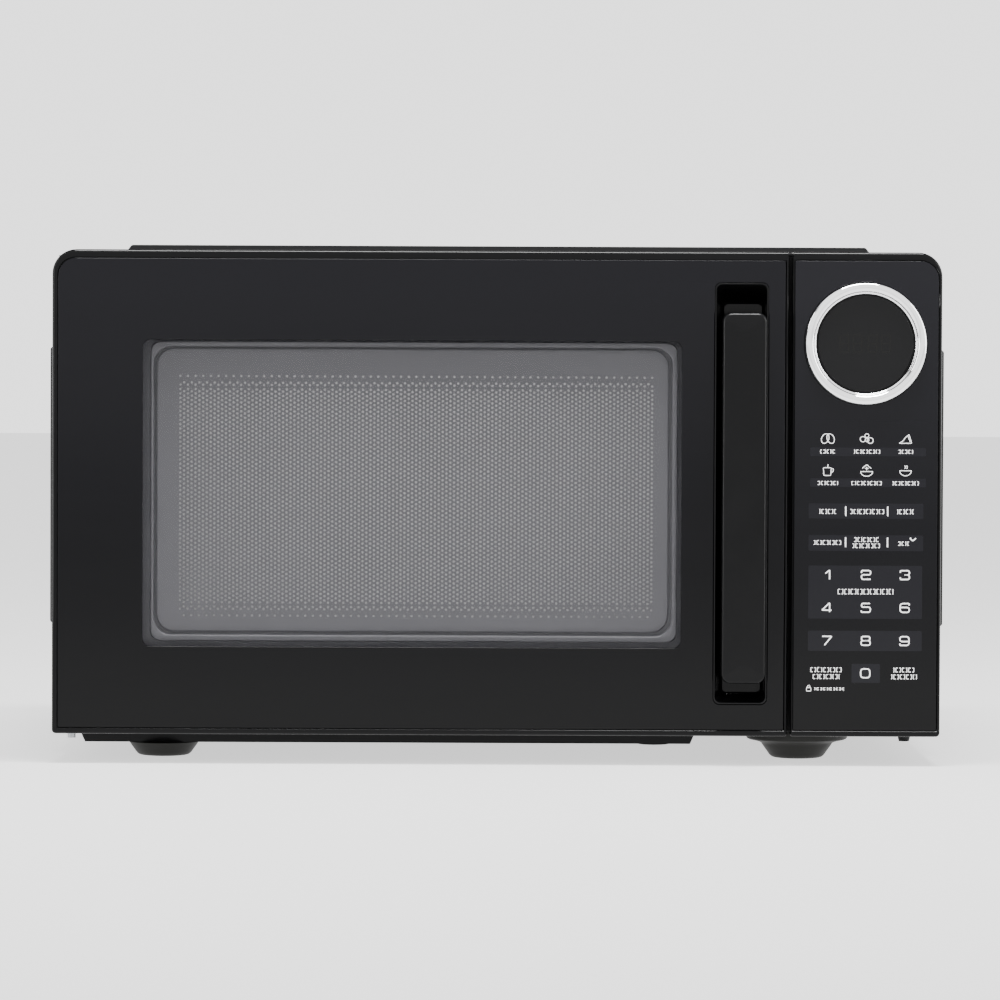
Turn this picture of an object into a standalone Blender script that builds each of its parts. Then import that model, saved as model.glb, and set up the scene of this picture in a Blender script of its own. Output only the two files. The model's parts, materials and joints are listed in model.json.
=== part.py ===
"""Countertop microwave oven with a side-hinged door, built as an assembly of its real pieces.

The sizes below are in millimetres. X runs to the right, Y to the back and Z up, the door faces -Y,
and the origin is on the ground under the middle of the oven.
"""

import math

import bmesh
import bpy
from mathutils import Matrix, Vector

MM = 0.001
GAP = 0.3  # clearance between pieces that touch
LONG = 60.0  # how far a cutter runs past what it cuts

# Front: the door and the control panel stand side by side in one flush face.
FACE_HALF = 220.3
FACE_BOTTOM = 14.7
FACE_TOP = 254.8
FACE_Y = -160.0
TOP_CORNER = 12.0
BOTTOM_CORNER = 2.0
INNER_CORNER = 1.0
DOOR_RIGHT = 144.3
PANEL_LEFT = 146.1
BEZEL_SIDE = 3.0
BEZEL_INNER = 1.7
BEZEL_TOP = 4.3
BEZEL_BOTTOM = 3.2
WALL = 2.5

# Body behind the front.
FRAME_Y = -128.0
SHEET = 0.8
FRAME_SHEET = 1.2
COVER_HALF = 219.5
COVER_TOP = 254.0
COVER_BOTTOM = 13.0
BACK_Y = 161.2
SPACER_Y = 170.0
EMBOSS_TOP = 258.2
EMBOSS_HALF = 226.0
INNER_HALF = COVER_HALF - SHEET - GAP

# Cooking cavity and turntable.
CAVITY_LEFT = -199.5
CAVITY_RIGHT = 115.5
CAVITY_FLOOR = 35.0
CAVITY_TOP = 233.0
CAVITY_BACK = 157.0
CAVITY_SHEET = 0.6
TURN_X = (CAVITY_LEFT + CAVITY_RIGHT) / 2
TURN_Y = 14.0
TRAY_RADIUS = 122.5
ROLLER_RADIUS = 7.0
TRACK_RADIUS = 88.0
ROLLER_Z = CAVITY_FLOOR + GAP + ROLLER_RADIUS
TRAY_BOTTOM = ROLLER_Z + ROLLER_RADIUS + GAP

# Door.
HINGE_X = -212.0
HINGE_Y = -138.0
PIN_RADIUS = 2.0
DOOR_WALL_BACK = -135.5
GLASS_THICK = 3.0
RECESS = (107.9, 134.1, 30.8, 239.3)
RECESS_FLOOR = -139.5
HANDLE = (111.3, 133.3, 41.5, 224.7)
HANDLE_FRONT = -170.0
WINDOW = (-190.0, 97.0, 48.0, 222.0)
HOOK_X = 123.5
HOOK_ZS = (71.0, 207.0)

# Display.
DISPLAY_X = 182.4
DISPLAY_Z = 209.6
RING_OUTER = 30.3
RING_INNER = 24.75

# Ground side.
PAN_TOP = 15.4
PAN_SHEET = 1.2
TUB_BOTTOM = 7.5
TUB = (-210.0, 101.0, -118.0, 150.0)
PEG_X = 206.0
PEG_Y = -112.0
PEG_BOTTOM = 9.2
FOOT_LEFT_X = -168.0
FOOT_RIGHT_X = 152.5
FOOT_FRONT_Y = -101.0
FOOT_REAR_Y = 116.0

# Mains lead, at the back.
CORD_X = 194.0
CORD_Z = 42.0

# Fan, in the electronics bay at the right.
FAN_X = 167.5
FAN_Z = 172.0
FAN_RADIUS = 40.0

parts = bpy.data.collections.new("microwave_oven")
cutters = bpy.data.collections.new("cutters")


def clear_scene():
    for obj in list(bpy.data.objects):
        bpy.data.objects.remove(obj, do_unlink=True)
    bpy.context.scene.collection.children.link(parts)
    bpy.context.scene.collection.children.link(cutters)


def paint(obj, color, roughness, metallic=0.0, alpha=1.0):
    """Gives the object a material of its own."""
    finish = bpy.data.materials.new(obj.name)
    finish.use_nodes = True
    shader = finish.node_tree.nodes["Principled BSDF"]
    shader.inputs["Base Color"].default_value = (*color, 1.0)
    shader.inputs["Roughness"].default_value = roughness
    shader.inputs["Metallic"].default_value = metallic
    shader.inputs["Alpha"].default_value = alpha
    finish.diffuse_color = (*color, alpha)
    obj.data.materials.clear()
    obj.data.materials.append(finish)
    return obj


def black_plastic(obj):
    return paint(obj, (0.016, 0.016, 0.018), 0.3)


def black_steel(obj):
    return paint(obj, (0.02, 0.02, 0.021), 0.45, 0.1)


def zinc(obj):
    return paint(obj, (0.55, 0.56, 0.57), 0.35, 0.9)


def white_plastic(obj):
    return paint(obj, (0.78, 0.78, 0.75), 0.5)


def circuit_board(obj):
    return paint(obj, (0.05, 0.22, 0.1), 0.5)


def add_mesh(name, mesh, location=(0.0, 0.0, 0.0)):
    obj = bpy.data.objects.new(name, mesh)
    obj.location = Vector(location) * MM
    parts.objects.link(obj)
    return obj


def box(name, x, y, z, bevel=0.0, segments=2):
    """A block between two values on each axis, with its edges rounded by a Bevel modifier."""
    size = Vector((x[1] - x[0], y[1] - y[0], z[1] - z[0]))
    mesh = bpy.data.meshes.new(name)
    form = bmesh.new()
    bmesh.ops.create_cube(form, size=1.0)
    bmesh.ops.scale(form, vec=size * MM, verts=form.verts)
    form.to_mesh(mesh)
    form.free()
    center = ((x[0] + x[1]) / 2, (y[0] + y[1]) / 2, (z[0] + z[1]) / 2)
    obj = add_mesh(name, mesh, center)
    if bevel:
        round_edges(obj, bevel, segments)
    return obj


def round_edges(obj, width, segments=2):
    modifier = obj.modifiers.new("rounded_edges", "BEVEL")
    modifier.width = width * MM
    modifier.segments = segments
    modifier.limit_method = "ANGLE"
    modifier.angle_limit = math.radians(40)


AXES = {"x": Vector((1, 0, 0)), "y": Vector((0, 1, 0)), "z": Vector((0, 0, 1))}


def rod(name, axis, start, length, radius, end_radius=None, sides=24):
    """A cylinder or cone that begins at start and runs along an axis, given by name or as a vector."""
    direction = AXES[axis] if isinstance(axis, str) else Vector(axis).normalized()
    mesh = bpy.data.meshes.new(name)
    form = bmesh.new()
    bmesh.ops.create_cone(
        form,
        cap_ends=True,
        segments=sides,
        radius1=radius * MM,
        radius2=(radius if end_radius is None else end_radius) * MM,
        depth=length * MM,
    )
    form.to_mesh(mesh)
    form.free()
    mesh.shade_smooth()
    mesh.set_sharp_from_angle(angle=math.radians(40))
    obj = add_mesh(name, mesh, Vector(start) + direction * length / 2)
    obj.rotation_euler = direction.to_track_quat("Z", "Y").to_euler()
    return obj


def turned(name, profile, center, axis="z", steps=36):
    """A turned piece. The profile holds (radius, height) pairs, down the outer side from top to bottom."""
    mesh = bpy.data.meshes.new(name)
    form = bmesh.new()
    points = [form.verts.new((radius * MM, 0.0, height * MM)) for radius, height in profile]
    for first, second in zip(points, points[1:]):
        form.edges.new((first, second))
    if profile[0][0] > 0:
        form.edges.new((points[-1], points[0]))
    form.to_mesh(mesh)
    form.free()
    obj = add_mesh(name, mesh, center)
    if axis != "z":
        obj.rotation_euler = AXES[axis].to_track_quat("Z", "Y").to_euler()
    screw = obj.modifiers.new("turn", "SCREW")
    screw.steps = steps
    screw.render_steps = steps
    screw.use_merge_vertices = True
    screw.merge_threshold = 0.00001
    screw.use_smooth_shade = True
    return obj


def rounded_rectangle(left, right, low, high, corners, steps=4):
    """Points round a rectangle. corners are the radii at bottom left, bottom right, top right, top left."""
    if not isinstance(corners, (tuple, list)):
        corners = (corners,) * 4
    places = ((left, low, 180), (right, low, 270), (right, high, 0), (left, high, 90))
    points = []
    for (x, z, start), radius in zip(places, corners):
        inward_x = radius if x == left else -radius
        inward_z = radius if z == low else -radius
        for step in range(steps + 1):
            angle = math.radians(start + 90 * step / steps)
            px = x + inward_x + radius * math.cos(angle)
            pz = z + inward_z + radius * math.sin(angle)
            points.append((px, pz))
    return points


def circle(x, z, radius, sides=24):
    turns = (2 * math.pi * side / sides for side in range(sides))
    return [(x + radius * math.cos(turn), z + radius * math.sin(turn)) for turn in turns]


def as_mesh(obj):
    """The curve as a welded mesh object of the same name."""
    graph = bpy.context.evaluated_depsgraph_get()
    mesh = bpy.data.meshes.new_from_object(obj.evaluated_get(graph))
    form = bmesh.new()
    form.from_mesh(mesh)
    bmesh.ops.remove_doubles(form, verts=form.verts, dist=0.000002)
    bmesh.ops.recalc_face_normals(form, faces=form.faces)
    form.to_mesh(mesh)
    form.free()
    name = obj.name
    place = obj.matrix_world.copy()
    bpy.data.objects.remove(obj, do_unlink=True)
    made = bpy.data.objects.new(name, mesh)
    made.matrix_world = place
    parts.objects.link(made)
    return made


def plate(name, outlines, start, end, normal="y"):
    """A flat plate from its outline and its holes, between two values on the axis that it faces."""
    curve = bpy.data.curves.new(name, "CURVE")
    curve.dimensions = "2D"
    curve.fill_mode = "BOTH"
    curve.extrude = (end - start) / 2 * MM
    for points in outlines:
        spline = curve.splines.new("POLY")
        spline.points.add(len(points) - 1)
        for point, (u, v) in zip(spline.points, points):
            point.co = (u * MM, v * MM, 0.0, 1.0)
        spline.use_cyclic_u = True
    obj = bpy.data.objects.new(name, curve)
    parts.objects.link(obj)
    middle = (start + end) / 2 * MM
    if normal == "y":
        obj.matrix_world = Matrix.Translation((0, middle, 0)) @ Matrix.Rotation(math.pi / 2, 4, "X")
    elif normal == "x":
        turn = Matrix(((0, 0, 1, 0), (1, 0, 0, 0), (0, 1, 0, 0), (0, 0, 0, 1)))
        obj.matrix_world = Matrix.Translation((middle, 0, 0)) @ turn
    else:
        obj.matrix_world = Matrix.Translation((0, 0, middle))
    bpy.context.view_layer.update()
    return as_mesh(obj)


def open_box(name, x, y, z, thickness, open_sides, bevel=0.0):
    """A sheet box with some sides left open, its thickness added outwards."""
    obj = box(name, x, y, z)
    form = bmesh.new()
    form.from_mesh(obj.data)
    opened = []
    for face in form.faces:
        if any(face.normal.dot(Vector(side)) > 0.9 for side in open_sides):
            opened.append(face)
    bmesh.ops.delete(form, geom=opened, context="FACES")
    form.to_mesh(obj.data)
    form.free()
    if bevel:
        round_edges(obj, bevel)
    wall = obj.modifiers.new("wall", "SOLIDIFY")
    wall.thickness = thickness * MM
    wall.offset = 1.0
    wall.use_even_offset = True
    return obj


def combine(target, others, operation):
    for other in others:
        modifier = target.modifiers.new(operation.lower(), "BOOLEAN")
        modifier.operation = operation
        modifier.solver = "EXACT"
        modifier.object = other
        other.hide_render = True
        other.display_type = "WIRE"
        parts.objects.unlink(other)
        cutters.objects.link(other)
    return target


def cut(target, *others):
    return combine(target, others, "DIFFERENCE")


def join(target, *others):
    return combine(target, others, "UNION")


def tapered_block(name, x, y, z, inset, side):
    """A block whose face on one side, such as (0, 0, 1), is smaller all round by inset."""
    obj = box(name, x, y, z)
    direction = Vector(side)
    for vertex in obj.data.vertices:
        if vertex.co.dot(direction) > 0:
            for index in range(3):
                if not side[index]:
                    vertex.co[index] -= math.copysign(inset * MM, vertex.co[index])
    return obj


# The body: cover, rear panel, base and feet.


def cover_form(name, inset, front, back):
    """The cover's outside with its three raised panels, or its inside when inset by the sheet."""
    half = COVER_HALF - inset
    top = COVER_TOP - inset
    corners = (BOTTOM_CORNER, BOTTOM_CORNER, 10.0 - inset, 10.0 - inset)
    outline = rounded_rectangle(-half, half, COVER_BOTTOM - (LONG if inset else 0), top, corners)
    form = plate(name, [outline], front, back)
    shift = inset * 0.6
    raised = (-104.0 + shift, 138.0 - shift)
    roof = (-189.3 + shift, 190.3 - shift)
    top_panel = tapered_block(name + "_top", roof, raised, (200.0, EMBOSS_TOP - inset), 0.0, (0, 0, 1))
    side_z = (63.5 + shift, 209.5 - shift)
    right = (200.0, EMBOSS_HALF - inset)
    left = (inset - EMBOSS_HALF, -200.0)
    right_panel = box(name + "_right", right, raised, side_z)
    left_panel = box(name + "_left", left, raised, side_z)
    slope = 4.2
    for panel, axis, sign in ((top_panel, 2, 1), (right_panel, 0, 1), (left_panel, 0, -1)):
        for vertex in panel.data.vertices:
            if vertex.co[axis] * sign > 0:
                for other in range(3):
                    if other != axis:
                        vertex.co[other] -= math.copysign(slope * MM, vertex.co[other])
    # The slope starts at the sheet's own face, so the raised panels keep an even wall.
    for panel, axis, sign, face in (
        (top_panel, 2, 1, top),
        (right_panel, 0, 1, half),
        (left_panel, 0, -1, half),
    ):
        for vertex in panel.data.vertices:
            if vertex.co[axis] * sign < 0:
                vertex.co[axis] = sign * (face - 1.0) * MM - panel.location[axis]
    return join(form, top_panel, right_panel, left_panel)


def slot_row(name, axis, through, first, pitch, count, length, low, width=3.0):
    """Cutters for a row of upright vent slots in a wall that faces the given axis."""
    slots = []
    for index in range(count):
        at = first + pitch * index
        outline = rounded_rectangle(at, at + width, low, low + length, width / 2 - 0.01, 2)
        slots.append(plate(f"{name}_{index}", [outline], through[0], through[1], axis))
    return slots


def cabinet_cover():
    cover = cover_form("cabinet_cover", 0.0, FRAME_Y, BACK_Y)
    inside = cover_form("cover_inside", SHEET, FRAME_Y - LONG, BACK_Y + LONG)
    cut(cover, inside)
    cut(cover, *slot_row("left_vent", "x", (-230, -210), -84.0, 9.0, 8, 44.0, 90.0))
    cut(cover, *slot_row("right_vent", "x", (210, 230), 40.0, 9.0, 8, 44.0, 90.0))
    black_steel(cover)


def rear_panel():
    outline = rounded_rectangle(-INNER_HALF, INNER_HALF, 15.8, COVER_TOP - SHEET - GAP, (2, 2, 9, 9))
    holes = []
    for column in (130.0, 172.0):
        for row in range(12):
            low = 128.0 + row * 7.4
            holes.append(rounded_rectangle(column, column + 34.0, low, low + 3.6, 1.7, 2))
    for x in (-206.0, 206.0):
        for z in (26.0, 240.0):
            holes.append(circle(x, z, 2.4, 12))
    holes.append(circle(CORD_X, CORD_Z, 8.3, 20))
    panel = plate("rear_panel", [outline, *holes], BACK_Y - 1.0, BACK_Y)
    for index, x in enumerate((-150.0, 100.0)):
        spacer = tapered_block(
            f"spacer_{index}", (x - 22, x + 22), (BACK_Y - 0.5, SPACER_Y), (196, 226), 4.0, (0, 1, 0)
        )
        join(panel, spacer)
    black_steel(panel)


def cord_gland():
    """A snap-in bush with the lead's hole through it."""
    profile = [(3.7, 4.5), (7.0, 4.5), (10.5, 3.4), (10.5, 0.5), (8.0, 0.5), (8.0, -2.0), (9.0, -2.6)]
    profile += [(8.0, -7.0), (3.7, -7.0)]
    gland = turned("cord_gland", profile, (CORD_X, BACK_Y, CORD_Z), "y", 20)
    paint(gland, (0.02, 0.02, 0.02), 0.5)


def base_pan():
    plate_form = box("base_pan", (-INNER_HALF, INNER_HALF), (-126.0, 158.0), (PAN_TOP - PAN_SHEET, PAN_TOP))
    left, right, front, back = TUB
    tub = tapered_block("tub", (left, right), (front, back), (TUB_BOTTOM, PAN_TOP - 0.5), 3.0, (0, 0, -1))
    join(plate_form, tub)
    for index, (x, y, radius) in enumerate(((TURN_X + 8.0, TURN_Y, 8.5), (80.0, -96.0, 9.0))):
        join(plate_form, rod(f"boss_{index}", "z", (x, y, TUB_BOTTOM - 1.4), 3.0, radius - 1.5, radius))
    join(plate_form, rod("peg", "z", (PEG_X, PEG_Y, PEG_BOTTOM), PAN_TOP - 0.6 - PEG_BOTTOM, 2.6, 4.0))
    sheet = PAN_SHEET
    hollow = tapered_block(
        "tub_inside",
        (left + sheet, right - sheet),
        (front + sheet, back - sheet),
        (TUB_BOTTOM + sheet, PAN_TOP + 8.0),
        3.0,
        (0, 0, -1),
    )
    cut(plate_form, hollow)
    slots = []
    for index in range(8):
        x = 118.0 + 9.0 * index
        outline = rounded_rectangle(x, x + 3.4, 84.0, 108.0, 1.6, 3)
        slots.append(plate(f"base_vent_{index}", [outline], 8.0, 20.0, "z"))
    cut(plate_form, *slots)
    black_steel(plate_form)


def foot(name, x, y, top, flare):
    """A moulded foot: a cone with a rounded bottom edge, and a flared collar on the right-hand ones."""
    profile = [(0.0, top)]
    if flare:
        profile += [(25.5, top), (25.5, 9.9), (24.4, 9.4), (18.6, 7.9)]
    else:
        profile += [(17.8, top)]
    profile += [(17.5, 6.6), (16.4, 5.0), (13.7, 1.3), (12.6, 0.45), (10.5, 0.0), (0.0, 0.0)]
    paint(turned(name, profile, (x, y, 0.0), "z", 28), (0.03, 0.03, 0.028), 0.6)


def feet():
    under_tub = TUB_BOTTOM - GAP
    under_pan = PAN_TOP - PAN_SHEET - GAP
    foot("foot_front_left", FOOT_LEFT_X, FOOT_FRONT_Y, under_tub, False)
    foot("foot_front_right", FOOT_RIGHT_X, FOOT_FRONT_Y, under_pan, True)
    foot("foot_rear_left", FOOT_LEFT_X, FOOT_REAR_Y, under_tub, False)
    foot("foot_rear_right", FOOT_RIGHT_X, FOOT_REAR_Y, under_pan, True)


def cover_screws():
    number = 1
    for x in (-206.0, 206.0):
        for z in (26.0, 240.0):
            profile = [(0.0, 2.4), (2.4, 2.2), (4.0, 0.9), (4.0, 0.3), (1.9, 0.3), (1.9, -5.0), (0.0, -5.6)]
            zinc(turned(f"cover_screw_{number}", profile, (x, BACK_Y, z), "y", 12))
            number += 1


# The front frame, the cavity and the hinges.


def front_frame():
    low = PAN_TOP + 0.4
    outline = rounded_rectangle(-INNER_HALF, INNER_HALF, low, COVER_TOP - SHEET - GAP, (2, 2, 9, 9))
    mouth = rounded_rectangle(CAVITY_LEFT, CAVITY_RIGHT, CAVITY_FLOOR, CAVITY_TOP, 6.0)
    bay = rounded_rectangle(152.0, 212.0, 40.0, 236.0, 5.0)
    hinge_slots = []
    for z in (20.0, 244.0):
        hinge_slots.append(rounded_rectangle(HINGE_X - 5.6, HINGE_X + 5.6, z - 0.6, z + 2.4, 0.5, 2))
    hook_slots = []
    for z in HOOK_ZS:
        hook_slots.append(rounded_rectangle(118.5, 129.5, z - 12, z + 15, 2.0, 3))
    holes = [mouth, bay, *hinge_slots, *hook_slots]
    black_steel(plate("front_frame", [outline, *holes], FRAME_Y, FRAME_Y + FRAME_SHEET))


def cavity_liner():
    liner = open_box(
        "cavity_liner",
        (CAVITY_LEFT, CAVITY_RIGHT),
        (FRAME_Y + FRAME_SHEET + GAP, CAVITY_BACK),
        (CAVITY_FLOOR, CAVITY_TOP),
        CAVITY_SHEET,
        [(0, -1, 0)],
        7.0,
    )
    shaft_hole = rod("shaft_hole", "z", (TURN_X, TURN_Y, 30.0), 10.0, 8.0)
    port = box("wave_port", (110.0, 122.0), (0.0, 50.0), (144.0, 196.0))
    cut(liner, shaft_hole, port)
    paint(liner, (0.5, 0.5, 0.49), 0.35, 0.3)


def waveguide_cover():
    cover = box("waveguide_cover", (CAVITY_RIGHT - GAP - 0.8, CAVITY_RIGHT - GAP), (-8, 58), (136, 204))
    paint(cover, (0.62, 0.6, 0.52), 0.6)


def hinge(name, plate_low, pin_low, pin_high):
    """A bracket riveted behind the front frame, with the fixed pin that the door turns on."""
    arm_half = 5.0
    turn = [math.radians(180 + 180 * step / 12) for step in range(13)]
    outline = [(HINGE_X + arm_half * math.cos(a), HINGE_Y + arm_half * math.sin(a)) for a in turn]
    outline += [(HINGE_X + arm_half, -125.0), (HINGE_X - arm_half, -125.0)]
    bracket = plate(name, [outline], plate_low, plate_low + 1.8, "z")
    step = -1 if plate_low > CAVITY_TOP else 1
    flange_z = sorted((plate_low + 0.9 - 0.9 * step, plate_low + 0.9 + 16 * step))
    flange = box(name + "_flange", (HINGE_X - 5.0, HINGE_X + 5.0), (-126.3, -124.6), flange_z)
    pin = rod(name + "_pin", "z", (HINGE_X, HINGE_Y, pin_low), pin_high - pin_low, PIN_RADIUS)
    zinc(join(bracket, flange, pin))


# The door.


def door_outline(inset_left, inset_right, inset_low, inset_top):
    corners = (
        BOTTOM_CORNER,
        INNER_CORNER,
        INNER_CORNER,
        max(TOP_CORNER - inset_top, 1.0),
    )
    left = inset_left - FACE_HALF
    right = DOOR_RIGHT - inset_right
    return rounded_rectangle(left, right, FACE_BOTTOM + inset_low, FACE_TOP - inset_top, corners)


def grown(area, by):
    return (area[0] - by, area[1] + by, area[2] - by, area[3] + by)


def block_over(name, area, y, bevel=0.0):
    return box(name, area[:2], y, area[2:], bevel)


def door_frame():
    """The moulded bezel with its backing plate, the handle pocket and the hinge bearings."""
    frame = plate("door_frame", [door_outline(0, 0, 0, 0)], FACE_Y, DOOR_WALL_BACK)
    bezel = (BEZEL_SIDE - GAP, BEZEL_INNER - GAP, BEZEL_BOTTOM - GAP, BEZEL_TOP - GAP)
    seat = plate("glass_seat", [door_outline(*bezel)], FACE_Y - LONG, FACE_Y + GLASS_THICK + GAP)
    plate_back = FACE_Y + GLASS_THICK + GAP + WALL
    inside = plate("door_inside", [door_outline(WALL, WALL, WALL, WALL)], plate_back, LONG)
    window = plate("window_hole", [rounded_rectangle(*WINDOW, 5.0)], FACE_Y - 1, FACE_Y + 20)
    cut(frame, seat, inside, window)
    pocket_back = RECESS_FLOOR + WALL
    join(frame, block_over("pocket", grown(RECESS, WALL), (FACE_Y + GLASS_THICK + 1.0, pocket_back)))
    for name, low, high in (("low_bearing", 17.0, 19.4), ("top_bearing", 246.4, 253.0)):
        join(frame, box(name, (-218.5, -205.5), (-146.0, DOOR_WALL_BACK - 0.4), (low, high)))
    join(frame, box("spring_peg", (120.5, 126.0), (-137.2, -134.2), (17.0, 27.4)))
    join(frame, box("peg_root", (120.5, 126.0), (-145.0, -134.2), (17.0, 22.0)))
    cut(frame, block_over("pocket_inside", RECESS, (FACE_Y - LONG, RECESS_FLOOR), 1.5))
    for name, low, high in (("low_pin_hole", 10.0, 20.0), ("top_pin_hole", 240.0, 251.0)):
        cut(frame, rod(name, "z", (HINGE_X, HINGE_Y, low), high - low, PIN_RADIUS + 0.3))
    for name, low in (("low_notch", 19.4), ("top_notch", 243.4)):
        cut(frame, box(name, (-230.0, -216.0), (-147.0, -120.0), (low, low + 3.0)))
    black_plastic(frame)


def door_glass():
    outline = door_outline(BEZEL_SIDE, BEZEL_INNER, BEZEL_BOTTOM, BEZEL_TOP)
    hole = rounded_rectangle(*grown(RECESS, GAP), 2.5)
    glass = plate("door_glass", [outline, hole], FACE_Y, FACE_Y + GLASS_THICK)
    paint(glass, (0.014, 0.014, 0.017), 0.08, 0.0, 0.6)


def handle_bar():
    """The grip stands on two posts, so that the fingers reach behind it."""
    handle = block_over("handle_bar", HANDLE, (HANDLE_FRONT, -157.5), 2.5)
    for index, z in enumerate((52.0, 206.0)):
        post = box(f"post_{index}", (121.5, 131.0), (-159.0, RECESS_FLOOR - GAP), (z, z + 9.0))
        join(handle, post)
    black_plastic(handle)


def door_screen():
    """The steel pan whose perforated middle keeps the microwaves in."""
    screen = open_box(
        "door_screen",
        (-201.2, 102.2),
        (-151.7, -136.4),
        (27.8, 242.2),
        SHEET,
        [(0, 1, 0)],
        3.0,
    )
    paint(screen, (0.16, 0.16, 0.165), 0.4, 0.6)


def door_inner_film():
    film = plate("door_inner_film", [rounded_rectangle(-186, 88, 46, 224, 4.0)], -151.3, -150.7)
    paint(film, (0.8, 0.82, 0.84), 0.1, 0.0, 0.2)


def choke_cover():
    outline = rounded_rectangle(-204.5, 141.0, 19.5, 250.7, (3, 3, 3, 3))
    window = rounded_rectangle(-176.0, 90.0, 56.0, 212.0, 8.0)
    slots = []
    for z in HOOK_ZS:
        slots.append(rounded_rectangle(119.5, 128.5, z - 10, z + 13, 1.5, 3))
    black_plastic(plate("choke_cover", [outline, window, *slots], -133.2, -131.0))


def door_hooks():
    bar = box("door_hooks", (119.5, 127.5), (-136.5, -134.0), (48.0, 228.0), 0.6, 1)
    for index, z in enumerate(HOOK_ZS):
        arm = box(f"arm_{index}", (HOOK_X - 2, HOOK_X + 2), (-135.0, -113.0), (z - 1, z + 6))
        nose = tapered_block(
            f"nose_{index}", (HOOK_X - 2, HOOK_X + 2), (-118.5, -113.0), (z - 6, z + 5), 0.8, (0, 0, -1)
        )
        join(bar, arm, nose)
    white_plastic(bar)


def hook_spring():
    """An extension spring that pulls the hooks down."""
    curve = bpy.data.curves.new("hook_spring", "CURVE")
    curve.dimensions = "3D"
    curve.bevel_depth = 0.3 * MM
    curve.bevel_resolution = 1
    curve.use_fill_caps = True
    turns, per_turn, low, high = 9, 7, 28.2, 47.2
    spline = curve.splines.new("POLY")
    count = turns * per_turn + 1
    spline.points.add(count - 1)
    for index, point in enumerate(spline.points):
        angle = 2 * math.pi * index / per_turn
        height = low + (high - low) * index / (count - 1)
        x = HOOK_X + 1.15 * math.cos(angle)
        y = -135.5 + 1.15 * math.sin(angle)
        point.co = (x * MM, y * MM, height * MM, 1.0)
    spring = bpy.data.objects.new("hook_spring", curve)
    parts.objects.link(spring)
    bpy.context.view_layer.update()
    zinc(as_mesh(spring))


# The control panel.


def panel_outline(inset_left, inset_right, inset_low, inset_top):
    corners = (INNER_CORNER, BOTTOM_CORNER, max(TOP_CORNER - inset_top, 1.0), INNER_CORNER)
    left = PANEL_LEFT + inset_left
    right = FACE_HALF - inset_right
    return rounded_rectangle(left, right, FACE_BOTTOM + inset_low, FACE_TOP - inset_top, corners)


def control_panel():
    housing = plate("control_panel", [panel_outline(0, 0, 0, 0)], FACE_Y, FRAME_Y - GAP)
    edge = (1.3 - GAP, 1.9 - GAP, BEZEL_BOTTOM - GAP, BEZEL_TOP - GAP)
    seat_back = FACE_Y + 2.3
    seat = plate("overlay_seat", [panel_outline(*edge)], FACE_Y - LONG, seat_back)
    inside = plate("panel_inside", [panel_outline(WALL, WALL, WALL, WALL)], seat_back + WALL, LONG)
    hole = box("display_hole", (DISPLAY_X - 20, DISPLAY_X + 20), (-165, -150), (DISPLAY_Z - 11, DISPLAY_Z + 11))
    cut(housing, seat, inside, hole)
    black_plastic(housing)


def keypad_overlay():
    outline = panel_outline(1.3, 1.9, BEZEL_BOTTOM, BEZEL_TOP)
    hole = circle(DISPLAY_X, DISPLAY_Z, RING_OUTER + GAP, 40)
    paint(plate("keypad_overlay", [outline, hole], FACE_Y, FACE_Y + 2.0), (0.016, 0.016, 0.018), 0.2)


def display_ring():
    base = 2.0
    crest = 3.6
    middle = (RING_OUTER + RING_INNER) / 2
    profile = [(RING_INNER, -base), (RING_INNER, 0.6)]
    for step in range(6):
        angle = math.pi * (1 - step / 5)
        radius = middle + (RING_OUTER - RING_INNER) / 2 * math.cos(angle)
        profile.append((radius, 1.0 + (crest - 1.0) * math.sin(angle)))
    profile += [(RING_OUTER, -base)]
    ring = turned("display_ring", profile, (DISPLAY_X, FACE_Y, DISPLAY_Z), "y", 48)
    # The profile's height points out of the face, towards -Y.
    ring.rotation_euler = (math.pi / 2, 0.0, 0.0)
    paint(ring, (0.85, 0.85, 0.86), 0.08, 1.0)


def display_lens():
    lens = rod("display_lens", "y", (DISPLAY_X, FACE_Y - 0.4, DISPLAY_Z), 2.4, RING_INNER - GAP, None, 40)
    paint(lens, (0.01, 0.01, 0.012), 0.08)


def display_module():
    width = (DISPLAY_X - 18, DISPLAY_X + 18)
    paint(box("display_module", width, (-157.4, -150.2), (DISPLAY_Z - 9, DISPLAY_Z + 9)), (0.03, 0.03, 0.03), 0.4)


def control_board():
    board = plate("control_board", [rounded_rectangle(152, 213.5, 44, 232, 1.5, 2)], -149.6, -148.0)
    join(board, box("relay", (158, 174), (-148.5, -134.0), (60, 80)))
    join(board, box("supply_coil", (180, 206), (-148.5, -131.5), (54, 82)))
    join(board, rod("buzzer", "y", (166, -148.5, 104), 9.0, 6.0))
    join(board, box("chip", (176, 200), (-148.5, -145.0), (120, 130)))
    circuit_board(board)


# The latch.


def latch_bracket():
    """The moulded holder behind the front frame. The hooks pass to its left over its ledges."""
    bracket = box("latch_bracket", (131.5, 134.0), (-126.0, -96.0), (50.0, 226.0))
    join(bracket, box("bracket_foot", (131.5, 147.0), (-126.4, -124.2), (50.0, 226.0)))
    for index, z in enumerate(HOOK_ZS):
        join(bracket, box(f"ledge_{index}", (119.0, 132.5), (-123.5, -110.0), (z - 15, z - 11)))
    white_plastic(bracket)


def door_switches():
    for place, z in (("lower", 72.0), ("middle", 139.0), ("upper", 206.0)):
        switch = box(f"door_switch_{place}", (134.4, 144.8), (-119.0, -101.0), (z - 14, z + 14), 0.8, 1)
        for index, offset in enumerate((-8.0, 0.0, 8.0)):
            tab = box(f"{place}_tab_{index}", (138.0, 142.0), (-102.0, -94.0), (z + offset, z + offset + 0.9))
            join(switch, tab)
        paint(switch, (0.5, 0.05, 0.04), 0.5)


# The turntable.


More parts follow.
